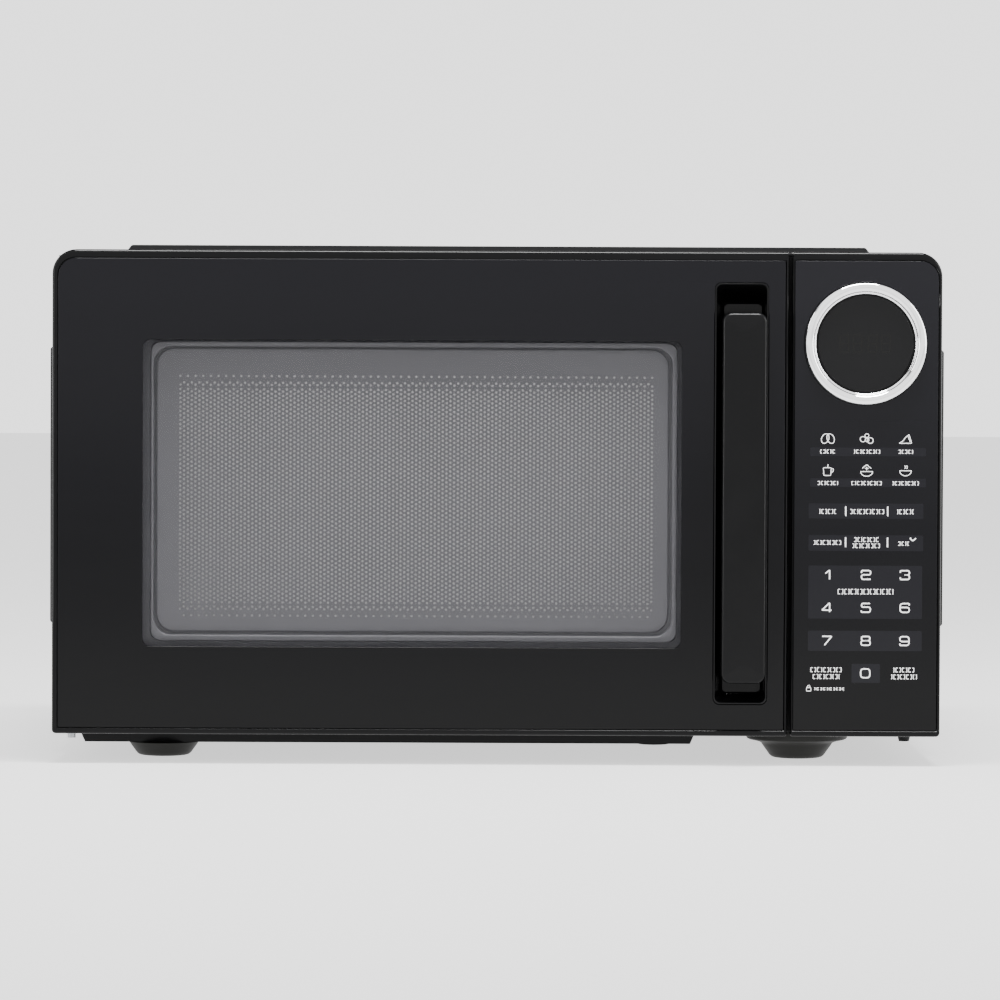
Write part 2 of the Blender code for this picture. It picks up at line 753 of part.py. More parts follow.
def turntable_motor():
    low = TUB_BOTTOM + PAN_SHEET + 2.0
    motor = rod("turntable_motor", "z", (TURN_X, TURN_Y, low), 19.0, 25.0, None, 40)
    join(motor, box("motor_ears", (TURN_X - 31, TURN_X + 31), (TURN_Y - 6, TURN_Y + 6), (low + 16, low + 18)))
    zinc(motor)


def drive_coupler():
    """The D-shaft's coupler, which turns the tray by its three lobes."""
    coupler = rod("drive_coupler", "z", (TURN_X, TURN_Y, 30.4), 9.0, 5.0)
    join(coupler, rod("coupler_disc", "z", (TURN_X, TURN_Y, 38.0), 6.5, 13.0))
    for index in range(3):
        angle = math.radians(90 + 120 * index)
        lobe = box(f"lobe_{index}", (-3.0, 3.0), (2.0, 17.0), (-4.5, 4.5))
        lobe.data.transform(Matrix.Translation(lobe.location))
        lobe.location = Vector((TURN_X, TURN_Y, 44.7)) * MM
        lobe.rotation_euler = (0.0, 0.0, angle)
        join(coupler, lobe)
    white_plastic(coupler)


def glass_tray():
    """A shallow glass plate with a raised rim, and three lugs underneath that sit between the lobes."""
    low = TRAY_BOTTOM
    profile = [(0.0, 3.6), (99.0, 3.6), (108.0, 4.4), (118.0, 9.4), (121.0, 10.6), (TRAY_RADIUS, 9.8)]
    profile += [(TRAY_RADIUS - 0.8, 7.6), (112.0, 1.6), (106.0, 0.2), (99.0, 0.0), (0.0, 0.0)]
    tray = turned("glass_tray", profile, (TURN_X, TURN_Y, low), "z", 48)
    for index in range(3):
        angle = math.radians(30 + 120 * index)
        x = TURN_X + 13.0 * math.cos(angle)
        y = TURN_Y + 13.0 * math.sin(angle)
        join(tray, rod(f"lug_{index}", "z", (x, y, low - 4.4), 5.5, 2.4, 3.4, 16))
    paint(tray, (0.85, 0.9, 0.9), 0.05, 0.0, 0.3)


def roller_ring():
    ring = turned(
        "roller_ring",
        [(77.0, 2.4), (80.5, 2.4), (80.5, -2.4), (77.0, -2.4)],
        (TURN_X, TURN_Y, ROLLER_Z),
        "z",
        48,
    )
    for index in range(3):
        angle = math.radians(90 + 120 * index)
        start = (TURN_X + 79.0 * math.cos(angle), TURN_Y + 79.0 * math.sin(angle), ROLLER_Z)
        axle = rod(f"axle_{index}", (math.cos(angle), math.sin(angle), 0), start, 14.5, 1.8, None, 16)
        join(ring, axle)
    white_plastic(ring)


def rollers():
    half = 3.4
    for index in range(3):
        angle = math.radians(90 + 120 * index)
        center = (TURN_X + TRACK_RADIUS * math.cos(angle), TURN_Y + TRACK_RADIUS * math.sin(angle), ROLLER_Z)
        outer = ROLLER_RADIUS
        profile = [(2.2, half), (outer - 0.6, half), (outer, half - 0.8), (outer, 0.8 - half)]
        profile += [(outer - 0.6, -half), (2.2, -half)]
        roller = turned("roller_" + "abc"[index], profile, center, "z", 24)
        roller.rotation_euler = Vector((math.cos(angle), math.sin(angle), 0)).to_track_quat("Z", "Y").to_euler()
        white_plastic(roller)


# The electronics bay.


def waveguide():
    guide = open_box("waveguide", (117.4, 145.0), (-14.0, 84.0), (126.0, 214.0), SHEET, [(-1, 0, 0)])
    cut(guide, rod("antenna_hole", "x", (140.0, 36.0, 170.0), 12.0, 10.5))
    zinc(guide)


def magnetron():
    """The tube stands in its steel yoke between cooling fins, with the antenna in the waveguide."""
    tube = box("magnetron", (146.4, 206.0), (4.0, 68.0), (134.0, 206.0))
    cut(tube, box("yoke_window", (149.0, 204.0), (-20.0, 90.0), (137.0, 203.0)))
    join(tube, rod("anode", "x", (147.0, 36.0, 170.0), 58.0, 19.0, None, 28))
    for index in range(5):
        x = 156.0 + 9.5 * index
        join(tube, box(f"fin_{index}", (x, x + 1.0), (8.0, 64.0), (135.5, 204.5)))
    join(tube, rod("antenna", "x", (128.0, 36.0, 170.0), 20.0, 8.0))
    join(tube, box("filter_box", (205.0, 214.5), (16.0, 56.0), (146.0, 194.0)))
    zinc(tube)


def transformer():
    core = box("transformer_core", (132.0, 204.0), (32.0, 74.0), (20.0, 78.0))
    for index, x in enumerate((146.0, 178.0)):
        cut(core, box(f"core_window_{index}", (x, x + 12.0), (0.0, 100.0), (34.0, 64.0)))
    join(core, box("core_feet", (124.0, 212.0), (36.0, 70.0), (PAN_TOP + GAP, 20.5)))
    paint(core, (0.1, 0.1, 0.11), 0.5, 0.5)
    coils = box("transformer_coils", (146.4, 189.6), (22.0, 84.0), (34.4, 63.6), 2.0)
    cut(coils, box("leg_hole", (157.6, 178.4), (31.6, 74.4), (0.0, 100.0)))
    paint(coils, (0.55, 0.22, 0.08), 0.4, 0.7)


def capacitor():
    outline = rounded_rectangle(130.0, 166.0, 112.0, 146.0, 16.9, 8)
    can = plate("capacitor", [outline], PAN_TOP + GAP, 102.0, "z")
    for index, x in enumerate((140.0, 152.0)):
        join(can, box(f"terminal_{index}", (x, x + 5.0), (128.5, 129.5), (101.0, 112.0)))
    paint(can, (0.7, 0.7, 0.7), 0.3, 0.9)


def hv_diode():
    body = rod("hv_diode", "z", (178.0, 134.0, 40.0), 20.0, 3.6, None, 16)
    join(body, rod("diode_lead_0", "z", (178.0, 134.0, PAN_TOP + GAP), 26.0, 0.9, None, 8))
    join(body, rod("diode_lead_1", "z", (178.0, 134.0, 59.0), 16.0, 0.9, None, 8))
    paint(body, (0.02, 0.02, 0.02), 0.4)


def fan_shroud():
    outline = rounded_rectangle(122.0, 213.0, 125.0, 219.0, 4.0)
    mouth = circle(FAN_X, FAN_Z, FAN_RADIUS + 3.8, 32)
    shroud = plate("fan_shroud", [outline, mouth], 147.0, 149.4)
    collar = [(FAN_RADIUS + 3.0, 14.0), (FAN_RADIUS + 4.6, 14.0), (FAN_RADIUS + 4.6, -12.0)]
    collar += [(FAN_RADIUS + 3.0, -12.0)]
    join(shroud, turned("shroud_collar", collar, (FAN_X, 134.0, FAN_Z), "y", 32))
    white_plastic(shroud)


def fan_motor():
    motor = box("fan_motor", (FAN_X - 22, FAN_X + 22), (96.0, 116.0), (FAN_Z - 24, FAN_Z + 24), 2.0, 1)
    join(motor, box("motor_bridge", (123.0, 212.5), (115.0, 121.6), (FAN_Z - 4, FAN_Z + 4)))
    zinc(motor)


def fan_blade():
    """A hub on the motor's shaft with five pitched blades."""
    blade = rod("fan_blade", "y", (FAN_X, 124.6, FAN_Z), 18.0, 12.0)
    join(blade, rod("fan_shaft", "y", (FAN_X, 122.0, FAN_Z), 5.0, 2.0))
    for index in range(5):
        vane = box(f"vane_{index}", (-9.0, 9.0), (-1.0, 1.0), (8.0, FAN_RADIUS - 0.5))
        vane.data.transform(Matrix.Translation(vane.location))
        pitch = Matrix.Rotation(math.radians(32), 4, "Z")
        around = Matrix.Rotation(math.radians(72 * index), 4, "Y")
        vane.data.transform(around @ pitch)
        vane.location = Vector((FAN_X, 133.6, FAN_Z)) * MM
        join(blade, vane)
    white_plastic(blade)


def air_duct():
    duct = open_box(
        "air_duct", (118.6, 198.0), (-62.0, -16.4), (136.0, 204.0), 1.2, [(-1, 0, 0), (0, 1, 0)]
    )
    paint(duct, (0.6, 0.6, 0.58), 0.5)


def cavity_lamp():
    lamp = box("cavity_lamp", (117.0, 128.0), (88.0, 108.0), (205.0, 225.0), 1.0, 1)
    profile = [(0.0, 22.0), (5.0, 20.4), (8.0, 16.0), (8.6, 11.0), (5.0, 3.0), (5.0, -2.0), (0.0, -2.0)]
    join(lamp, turned("bulb", profile, (127.0, 98.0, 215.0), "x", 24))
    paint(lamp, (0.85, 0.85, 0.8), 0.3)


def thermal_cutout():
    cutout = rod("thermal_cutout", "x", (116.6, -92.0, 180.0), 6.0, 9.0)
    for index, z in enumerate((176.0, 183.0)):
        join(cutout, box(f"cutout_tab_{index}", (122.0, 131.0), (-94.0, -89.0), (z, z + 0.9)))
    paint(cutout, (0.05, 0.05, 0.05), 0.4)


def line_filter_board():
    board = plate("line_filter_board", [rounded_rectangle(172, 213, 62, 116, 1.5, 2)], 153.0, 154.6)
    join(board, rod("choke", "y", (184.0, 138.0, 100.0), 15.5, 9.0))
    join(board, box("filter_capacitor", (196.0, 208.0), (142.0, 153.5), (72.0, 92.0)))
    join(board, rod("fuse", "z", (180.0, 148.0, 66.0), 22.0, 3.0, None, 12))
    join(board, box("fuse_clip", (178.0, 182.0), (147.0, 153.5), (70.0, 73.0)))
    circuit_board(board)


def main():
    clear_scene()
    cabinet_cover()
    rear_panel()
    cord_gland()
    base_pan()
    feet()
    cover_screws()
    front_frame()
    cavity_liner()
    waveguide_cover()
    hinge("lower_hinge", 20.0, 11.2, 23.0)
    hinge("upper_hinge", 244.0, 243.0, 250.5)
    door_frame()
    door_glass()
    handle_bar()
    door_screen()
    door_inner_film()
    choke_cover()
    door_hooks()
    hook_spring()
    control_panel()
    keypad_overlay()
    display_ring()
    display_lens()
    display_module()
    control_board()
    latch_bracket()
    door_switches()
    turntable_motor()
    drive_coupler()
    glass_tray()
    roller_ring()
    rollers()
    waveguide()
    magnetron()
    transformer()
    capacitor()
    hv_diode()
    fan_shroud()
    fan_motor()
    fan_blade()
    air_duct()
    cavity_lamp()
    thermal_cutout()
    line_filter_board()


main()
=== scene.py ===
"""The looks of the microwave oven: finishes, printed legends and the finely shaped visible pieces."""

import json
import math

import bmesh
import bpy
from mathutils import Matrix, Vector


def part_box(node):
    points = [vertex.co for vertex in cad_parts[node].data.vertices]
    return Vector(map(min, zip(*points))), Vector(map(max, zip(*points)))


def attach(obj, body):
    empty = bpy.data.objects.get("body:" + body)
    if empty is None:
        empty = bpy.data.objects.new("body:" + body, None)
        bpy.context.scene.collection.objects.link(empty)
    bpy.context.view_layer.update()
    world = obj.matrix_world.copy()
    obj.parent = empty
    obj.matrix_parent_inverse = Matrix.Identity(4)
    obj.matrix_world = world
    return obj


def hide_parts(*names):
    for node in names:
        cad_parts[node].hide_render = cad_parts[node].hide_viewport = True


MM = 0.001
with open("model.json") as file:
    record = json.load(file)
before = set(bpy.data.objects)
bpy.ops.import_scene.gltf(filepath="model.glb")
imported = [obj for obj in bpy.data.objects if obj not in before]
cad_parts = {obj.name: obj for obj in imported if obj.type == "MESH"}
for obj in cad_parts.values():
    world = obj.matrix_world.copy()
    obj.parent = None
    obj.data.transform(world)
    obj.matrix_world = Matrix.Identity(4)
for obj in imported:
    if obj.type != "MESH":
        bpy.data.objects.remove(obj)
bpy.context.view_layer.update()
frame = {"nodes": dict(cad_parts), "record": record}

# Planes and edges of the CAD model, in millimetres. Areas are (low x, high x, low z, high z).


def edges(node):
    """The node's box in millimetres: (low x, high x, low y, high y, low z, high z)."""
    low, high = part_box(node)
    return tuple(value / MM for axis in range(3) for value in (low[axis], high[axis]))


DOOR_LEFT, DOOR_RIGHT, FACE_Y, DOOR_WALL_BACK, FACE_BOTTOM, FACE_TOP = edges("door_frame")
GLASS_LEFT, GLASS_RIGHT, _, GLASS_BACK, GLASS_BOTTOM, GLASS_TOP = edges("door_glass")
PANEL_LEFT, PANEL_RIGHT, _, PANEL_BACK, _, _ = edges("control_panel")
KEYS_LEFT, KEYS_RIGHT, _, KEYS_BACK, KEYS_BOTTOM, KEYS_TOP = edges("keypad_overlay")
RING_LEFT, RING_RIGHT, RING_FRONT, _, RING_BOTTOM, RING_TOP = edges("display_ring")
LENS_LEFT, LENS_RIGHT, LENS_FRONT, LENS_BACK, _, _ = edges("display_lens")
GRIP_LEFT, GRIP_RIGHT, GRIP_FRONT, _, GRIP_BOTTOM, GRIP_TOP = edges("handle_bar")
_, COVER_RIGHT, COVER_FRONT, COVER_BACK, COVER_BOTTOM, COVER_TOP = edges("cabinet_cover")
SCREEN_LEFT, SCREEN_RIGHT, _, SCREEN_BACK, SCREEN_BOTTOM, SCREEN_TOP = edges("door_screen")
RING_X = (RING_LEFT + RING_RIGHT) / 2
RING_Z = (RING_BOTTOM + RING_TOP) / 2

TOP_CORNER = 12.0
RECESS = (107.9, 134.1, 30.8, 239.3)
RECESS_FLOOR = -139.5
WINDOW = (-175.4, 91.5, 58.3, 210.4)
WINDOW_CORNER = 4.2


# Finishes. Each is a Principled shader whose colour, roughness and bump vary by procedural nodes.


class Nodes:
    """A new material's node tree, with short calls for the nodes used here."""

    def __init__(self, name, **constants):
        self.material = bpy.data.materials.new(name)
        self.material.use_nodes = True
        self.tree = self.material.node_tree
        self.shader = self.tree.nodes["Principled BSDF"]
        for socket, value in constants.items():
            self.shader.inputs[socket.replace("_", " ")].default_value = value
        self.place = self.add("ShaderNodeTexCoord").outputs["Object"]

    def add(self, kind, **settings):
        node = self.tree.nodes.new(kind)
        for name, value in settings.items():
            setattr(node, name, value)
        return node

    def link(self, source, target):
        self.tree.links.new(source, target)

    def stretched(self, scale):
        mapping = self.add("ShaderNodeMapping")
        mapping.inputs["Scale"].default_value = scale
        self.link(self.place, mapping.inputs["Vector"])
        return mapping.outputs["Vector"]

    def noise(self, scale, detail=3.0, vector=None):
        node = self.add("ShaderNodeTexNoise")
        node.inputs["Scale"].default_value = scale
        node.inputs["Detail"].default_value = detail
        self.link(vector or self.place, node.inputs["Vector"])
        return node.outputs["Fac"]

    def cells(self, scale, output="Color"):
        node = self.add("ShaderNodeTexVoronoi")
        node.inputs["Scale"].default_value = scale
        self.link(self.place, node.inputs["Vector"])
        return node.outputs[output]

    def bands(self, scale, direction, distortion=0.0):
        node = self.add("ShaderNodeTexWave", wave_type="BANDS", bands_direction=direction)
        node.inputs["Scale"].default_value = scale
        node.inputs["Distortion"].default_value = distortion
        self.link(self.place, node.inputs["Vector"])
        return node.outputs["Fac"]

    def between(self, factor, low, high, start=0.3, end=0.7):
        node = self.add("ShaderNodeMapRange")
        node.inputs["From Min"].default_value = start
        node.inputs["From Max"].default_value = end
        node.inputs["To Min"].default_value = low
        node.inputs["To Max"].default_value = high
        self.link(factor, node.inputs["Value"])
        return node.outputs["Result"]

    def blend(self, factor, first, second, start=0.3, end=0.7):
        """A colour between two, by a texture's value."""
        ramp = self.add("ShaderNodeValToRGB")
        ramp.color_ramp.elements[0].position = start
        ramp.color_ramp.elements[1].position = end
        ramp.color_ramp.elements[0].color = (*first, 1.0)
        ramp.color_ramp.elements[1].color = (*second, 1.0)
        self.link(factor, ramp.inputs["Fac"])
        return ramp.outputs["Color"]

    def color(self, source):
        self.link(source, self.shader.inputs["Base Color"])

    def roughness(self, source):
        self.link(source, self.shader.inputs["Roughness"])

    def bump(self, height, strength, distance, under=None):
        node = self.add("ShaderNodeBump")
        node.inputs["Strength"].default_value = strength
        node.inputs["Distance"].default_value = distance
        self.link(height, node.inputs["Height"])
        if under:
            self.link(under, node.inputs["Normal"])
        self.link(node.outputs["Normal"], self.shader.inputs["Normal"])
        return node.outputs["Normal"]


def varied(name, color, roughness, grain, bump=0.1, spread=0.12, rough_spread=0.06, **constants):
    """A finish whose colour and roughness drift a little and whose surface has a fine grain."""
    made = Nodes(name, **constants)
    drift = made.noise(14.0, 4.0)
    dark = tuple(channel * (1 - spread) for channel in color)
    light = tuple(min(channel * (1 + spread), 1.0) for channel in color)
    made.color(made.blend(drift, dark, light))
    made.roughness(made.between(made.noise(60.0), roughness - rough_spread, roughness + rough_spread))
    made.bump(made.noise(grain, 2.0), bump, 0.00005)
    return made.material


def gloss_black(name, color, roughness=0.09, specular=0.14, painted_foot_shade=0.92):
    """Gloss plastic or painted glass, faintly waved and wiped. Its colour is darkened towards the foot, a
    painted shade.
    """
    made = Nodes(name, Specular_IOR_Level=specular)
    height = made.add("ShaderNodeSeparateXYZ")
    made.link(made.place, height.inputs["Vector"])
    # Painted shade: the colour is darkened towards the foot, to the given share of it at the bottom, full
    # from about a quarter metre up.
    low = tuple(channel * painted_foot_shade for channel in color)
    made.color(made.blend(made.between(height.outputs["Z"], 0.0, 1.0, 0.02, 0.24), low, color, 0.0, 1.0))
    wiped = made.noise(9.0, 5.0, made.stretched((1.0, 1.0, 7.0)))
    made.roughness(made.between(wiped, roughness * 0.8, roughness * 1.35))
    made.bump(made.noise(22.0, 1.0), 0.02, 0.0002)
    return made.material


def powder_coat(name, color):
    """Painted sheet steel with a fine orange peel over a finer grit."""
    made = Nodes(name, Specular_IOR_Level=0.16)
    made.color(made.blend(made.noise(10.0), color, tuple(channel * 1.08 for channel in color)))
    made.roughness(made.between(made.noise(260.0, 3.0), 0.39, 0.44))
    coarse = made.bump(made.noise(420.0, 1.0), 0.16, 0.00012)
    made.bump(made.noise(1500.0, 2.0), 0.1, 0.00004, coarse)
    return made.material


def enamel(name):
    """Speckled light grey enamel."""
    made = Nodes(name, Specular_IOR_Level=0.5, Coat_Weight=0.2, Coat_Roughness=0.2)
    speckle = made.cells(520.0, "Distance")
    made.color(made.blend(speckle, (0.30, 0.30, 0.30), (0.46, 0.46, 0.455), 0.05, 0.22))
    made.roughness(made.between(made.noise(50.0), 0.24, 0.36))
    made.bump(made.noise(120.0, 2.0), 0.06, 0.0002)
    return made.material


def zinc_plate(name):
    """Galvanised steel with its spangle."""
    made = Nodes(name, Metallic=0.9)
    spangle = made.cells(160.0)
    made.color(made.blend(spangle, (0.27, 0.28, 0.29), (0.42, 0.43, 0.44), 0.2, 0.8))
    made.roughness(made.between(spangle, 0.26, 0.42, 0.0, 1.0))
    made.bump(made.noise(300.0, 3.0), 0.06, 0.00004)
    return made.material


def laminations(name):
    """Stacked core sheets, seen as fine bands."""
    made = Nodes(name, Metallic=0.5)
    sheets = made.bands(310.0, "Y")
    made.color(made.blend(sheets, (0.035, 0.034, 0.036), (0.13, 0.125, 0.12)))
    made.roughness(made.between(made.noise(80.0), 0.4, 0.6))
    made.bump(sheets, 0.5, 0.0002)
    return made.material


def winding(name):
    """Enamelled copper wire, laid turn by turn."""
    made = Nodes(name, Metallic=0.75)
    turns = made.bands(260.0, "Z", 0.4)
    made.color(made.blend(turns, (0.2, 0.06, 0.02), (0.66, 0.27, 0.1)))
    made.roughness(made.between(made.noise(90.0), 0.25, 0.4))
    made.bump(turns, 0.7, 0.0003)
    return made.material


def board_green(name):
    """Solder mask over a pattern of copper tracks."""
    made = Nodes(name, Roughness=0.35, Coat_Weight=0.4, Coat_Roughness=0.2)
    tracks = made.add("ShaderNodeTexBrick", offset=0.37, squash=0.6)
    for socket, shade in (("Color1", 0.35), ("Color2", 0.5), ("Mortar", 0.9)):
        tracks.inputs[socket].default_value = (shade, shade, shade, 1.0)
    tracks.inputs["Scale"].default_value = 190.0
    made.link(made.stretched((1.0, 1.0, 0.7)), tracks.inputs["Vector"])
    made.color(made.blend(tracks.outputs["Color"], (0.012, 0.09, 0.035), (0.03, 0.2, 0.075), 0.35, 0.9))
    made.bump(tracks.outputs["Fac"], 0.2, 0.00005)
    return made.material


def tray_glass(name):
    """Clear pressed glass with a hint of green."""
    made = Nodes(name, Alpha=0.34, Specular_IOR_Level=0.6)
    made.color(made.blend(made.noise(8.0), (0.72, 0.8, 0.79), (0.8, 0.86, 0.85)))
    made.roughness(made.between(made.noise(30.0, 5.0), 0.02, 0.09))
    made.bump(made.noise(90.0, 1.0), 0.05, 0.0003)
    return made.material


def sheet_glass(name, color, alpha, specular):
    """Thin clear sheet that lets most of the light through."""
    made = Nodes(name, Alpha=alpha, Specular_IOR_Level=specular)
    made.color(made.blend(made.noise(5.0), tuple(channel * 0.8 for channel in color), color))
    made.roughness(made.between(made.noise(20.0, 5.0), 0.03, 0.1))
    return made.material


def printed_ink(name, color):
    """Screen-printed ink with a fine tooth."""
    made = Nodes(name, Roughness=0.45)
    made.color(made.blend(made.noise(300.0), tuple(channel * 0.9 for channel in color), color))
    made.bump(made.noise(2500.0), 0.1, 0.00002)
    return made.material


FINISHES = {
    "cabinet_paint": powder_coat("cabinet_paint", (0.0028, 0.0028, 0.003)),
    "cavity_enamel": enamel("cavity_enamel"),
    "bezel_plastic": gloss_black("bezel_plastic", (0.0012, 0.0012, 0.0014), 0.09, 0.11),
    "grip_plastic": varied(
        "grip_plastic", (0.0018, 0.0018, 0.002), 0.2, 900.0, 0.04, Specular_IOR_Level=0.12
    ),
    "door_back_plastic": varied("door_back_plastic", (0.016, 0.016, 0.017), 0.4, 1100.0, 0.12),
    # The door glass and the panel glass get a strong painted shade towards their foot.
    "door_glass": gloss_black("door_glass_black", (0.0024, 0.0023, 0.0036), painted_foot_shade=0.1),
    "panel_glass": gloss_black("panel_glass", (0.0048, 0.0047, 0.0064), painted_foot_shade=0.08),
    "lens": gloss_black("lens", (0.0034, 0.0034, 0.0037), 0.06),
    "chrome_trim": varied(
        "chrome_trim", (0.9, 0.9, 0.91), 0.05, 200.0, 0.01, spread=0.03, rough_spread=0.02, Metallic=1.0
    ),
    "screen_paint": varied("screen_paint", (0.084, 0.083, 0.091), 0.42, 1400.0, 0.1, spread=0.03),
    "clear_film": sheet_glass("clear_film", (0.8, 0.82, 0.84), 0.08, 0.5),
    "window_glass": sheet_glass("window_glass", (0.01, 0.01, 0.0125), 0.16, 0.17),
    "legend_ink": printed_ink("legend_ink", (0.9, 0.9, 0.9)),
    "panel_zone": gloss_black("panel_zone", (0.0062, 0.0061, 0.008)),
    "display_print": gloss_black("display_print", (0.0042, 0.0042, 0.004), 0.1),
    "pocket_plastic": varied(
        "pocket_plastic", (0.002, 0.002, 0.0022), 0.18, 900.0, 0.04, Specular_IOR_Level=0.13
    ),
    "tray_glass": tray_glass("tray_glass"),
    "foot_rubber": varied("foot_rubber", (0.0125, 0.0125, 0.0112), 0.5, 1300.0, 0.2, Specular_IOR_Level=0.2),
    "zinc_steel": zinc_plate("zinc_steel"),
    "transformer_steel": laminations("transformer_steel"),
    "copper_winding": winding("copper_winding"),
    "can_aluminium": varied("can_aluminium", (0.7, 0.7, 0.71), 0.28, 500.0, 0.05, Metallic=1.0),
    "white_plastic": varied("white_plastic", (0.72, 0.72, 0.69), 0.42, 900.0, 0.08, spread=0.04),
    "lamp_body": varied("lamp_body", (0.8, 0.8, 0.74), 0.3, 700.0, 0.08, spread=0.04),
    "duct_plastic": varied("duct_plastic", (0.55, 0.55, 0.52), 0.45, 900.0, 0.1, spread=0.05),
    "mica": varied("mica", (0.6, 0.57, 0.47), 0.5, 260.0, 0.2, spread=0.2),
    "switch_plastic": varied("switch_plastic", (0.42, 0.03, 0.025), 0.4, 900.0, 0.08),
    "circuit_board": board_green("circuit_board"),
    "dark_component": varied("dark_component", (0.02, 0.02, 0.021), 0.38, 900.0, 0.1),
}
# Each CAD node's material slot in the record
NODE_SLOT = {entry["node"]: entry["material_slot"] for entry in frame["record"]["subparts"]}


# The bevel on the edges of the CAD nodes that show, in millimetres
SOFT_NODES = {
    "base_pan": 0.35,
    "rear_panel": 0.4,
    "front_frame": 0.3,
    "choke_cover": 0.3,
    "door_hooks": 0.3,
    "cavity_liner": 0.25,
    "lower_hinge": 0.25,
    "upper_hinge": 0.25,
    "cord_gland": 0.25,
    "roller_ring": 0.3,
    "drive_coupler": 0.3,
}


def finish_cad_nodes():
    """Every CAD node gets its slot's finish, and the sharp sheet and moulded edges a small bevel."""
    for name, obj in frame["nodes"].items():
        obj.data.materials.clear()
        obj.data.materials.append(FINISHES[NODE_SLOT[name]])
        if name in SOFT_NODES:
            soften(obj, SOFT_NODES[name], 2, 50)


# Shapes. Outlines are lists of points in a plane; a loft joins loops that have the same number of points.


def rounded(left, right, low, high, corners, steps=10):
    """Points round a rectangle. corners are the radii at bottom left, bottom right, top right, top left."""
    if not isinstance(corners, (tuple, list)):
        corners = (corners,) * 4
    places = ((left, low, 180), (right, low, 270), (right, high, 0), (left, high, 90))
    points = []
    for (x, z, start), radius in zip(places, corners):
        middle_x = x + (radius if x == left else -radius)
        middle_z = z + (radius if z == low else -radius)
        for step in range(steps + 1):
            angle = math.radians(start + 90 * step / steps)
            points.append((middle_x + radius * math.cos(angle), middle_z + radius * math.sin(angle)))
    return points


def circle(x, z, radius, sides=96):
    turns = (2 * math.pi * side / sides for side in range(sides))
    return [(x + radius * math.cos(turn), z + radius * math.sin(turn)) for turn in turns]


def grown(area, by):
    return (area[0] - by, area[1] + by, area[2] - by, area[3] + by)


def shrunk(area, sides):
    """The area drawn in by (left, right, low, high)."""
    return (area[0] + sides[0], area[1] - sides[1], area[2] + sides[2], area[3] - sides[3])


WELD_DISTANCE = 0.000002


def at_depth(outline, y):
    """The outline's points in the upright plane at y, in metres."""
    return [Vector((x, y, z)) * MM for x, z in outline]


def new_object(name, data):
    obj = bpy.data.objects.new(name, data)
    bpy.context.scene.collection.objects.link(obj)
    return obj


def add_piece(name, mesh, body, slot, replaced=(), sharp=34):
    """Puts the mesh in the scene with its slot's finish, riding on its body."""
    return settle(new_object(name, mesh), body, slot, replaced, sharp)


def settle(obj, body, slot, replaced=(), sharp=34):
    """Gives the piece its slot's finish, soft shading below the sharp angle, and its body."""
    obj.data.materials.clear()
    obj.data.materials.append(FINISHES[slot])
    obj.data.shade_smooth()
    obj.data.set_sharp_from_angle(angle=math.radians(sharp))
    even = obj.modifiers.new("even_normals", "WEIGHTED_NORMAL")
    even.keep_sharp = True
    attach(obj, body)
    if replaced:
        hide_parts(*replaced)
    return obj


def soften(obj, width, segments=3, angle=40):
    modifier = obj.modifiers.new("soft_edges", "BEVEL")
    modifier.width = width * MM
    modifier.segments = segments
    modifier.limit_method = "ANGLE"
    modifier.angle_limit = math.radians(angle)
    modifier.use_clamp_overlap = True
    return obj


def apply_modifiers(obj):
    """The object's mesh becomes what its modifiers make of it."""
    graph = bpy.context.evaluated_depsgraph_get()
    mesh = bpy.data.meshes.new_from_object(obj.evaluated_get(graph))
    obj.modifiers.clear()
    obj.data = mesh


def mesh_from(form, name):
    """The form as a mesh with its faces turned outwards."""
    bmesh.ops.recalc_face_normals(form, faces=form.faces)
    mesh = bpy.data.meshes.new(name)
    form.to_mesh(mesh)
    form.free()
    return mesh


def curve_mesh(curve):
    """The curve, with its bevel and extrusion, as a mesh."""
    holder = new_object(curve.name, curve)
    bpy.context.view_layer.update()
    graph = bpy.context.evaluated_depsgraph_get()
    mesh = bpy.data.meshes.new_from_object(holder.evaluated_get(graph))
    bpy.data.objects.remove(holder, do_unlink=True)
    return mesh


def loft_mesh(name, loops, first_cap=False, last_cap=False, closed=False):
    """A skin over the loops, which may be capped at either end or close back onto the first."""
    form = bmesh.new()
    rows = [[form.verts.new(point) for point in loop] for loop in loops]
    if closed:
        rows.append(rows[0])
    for row, following in zip(rows, rows[1:]):
        for index in range(len(row)):
            after = (index + 1) % len(row)
            form.faces.new((row[index], row[after], following[after], following[index]))
    if first_cap:
        form.faces.new(rows[0])
    if last_cap:
        form.faces.new(rows[-1])
    return mesh_from(form, name)


def sheet_mesh(name, outlines, front, back, edge=0.0):
    """A flat sheet facing -Y, from its outline and holes, with rounded edges."""
    curve = bpy.data.curves.new(name, "CURVE")
    curve.dimensions = "2D"
    curve.fill_mode = "BOTH"
    curve.extrude = ((back - front) / 2 - edge) * MM
    curve.bevel_depth = edge * MM
    curve.bevel_resolution = 2
    curve.offset = -edge * MM
    for points in outlines:
        spline = curve.splines.new("POLY")
        spline.points.add(len(points) - 1)
        for point, (x, z) in zip(spline.points, points):
            point.co = (x * MM, z * MM, 0.0, 1.0)
        spline.use_cyclic_u = True
    mesh = curve_mesh(curve)
    upright = Matrix.Rotation(math.pi / 2, 4, "X")
    mesh.transform(Matrix.Translation((0, (front + back) / 2 * MM, 0)) @ upright)
    form = bmesh.new()
    form.from_mesh(mesh)
    bmesh.ops.remove_doubles(form, verts=form.verts, dist=WELD_DISTANCE)
    return mesh_from(form, name)


def block_mesh(name, x, y, z):
    """A block from its ranges along the three axes."""
    form = bmesh.new()
    bmesh.ops.create_cube(form, size=MM)
    bmesh.ops.scale(form, vec=(x[1] - x[0], y[1] - y[0], z[1] - z[0]), verts=form.verts)
    center = Vector((x[0] + x[1], y[0] + y[1], z[0] + z[1])) / 2 * MM
    bmesh.ops.translate(form, vec=center, verts=form.verts)
    return mesh_from(form, name)


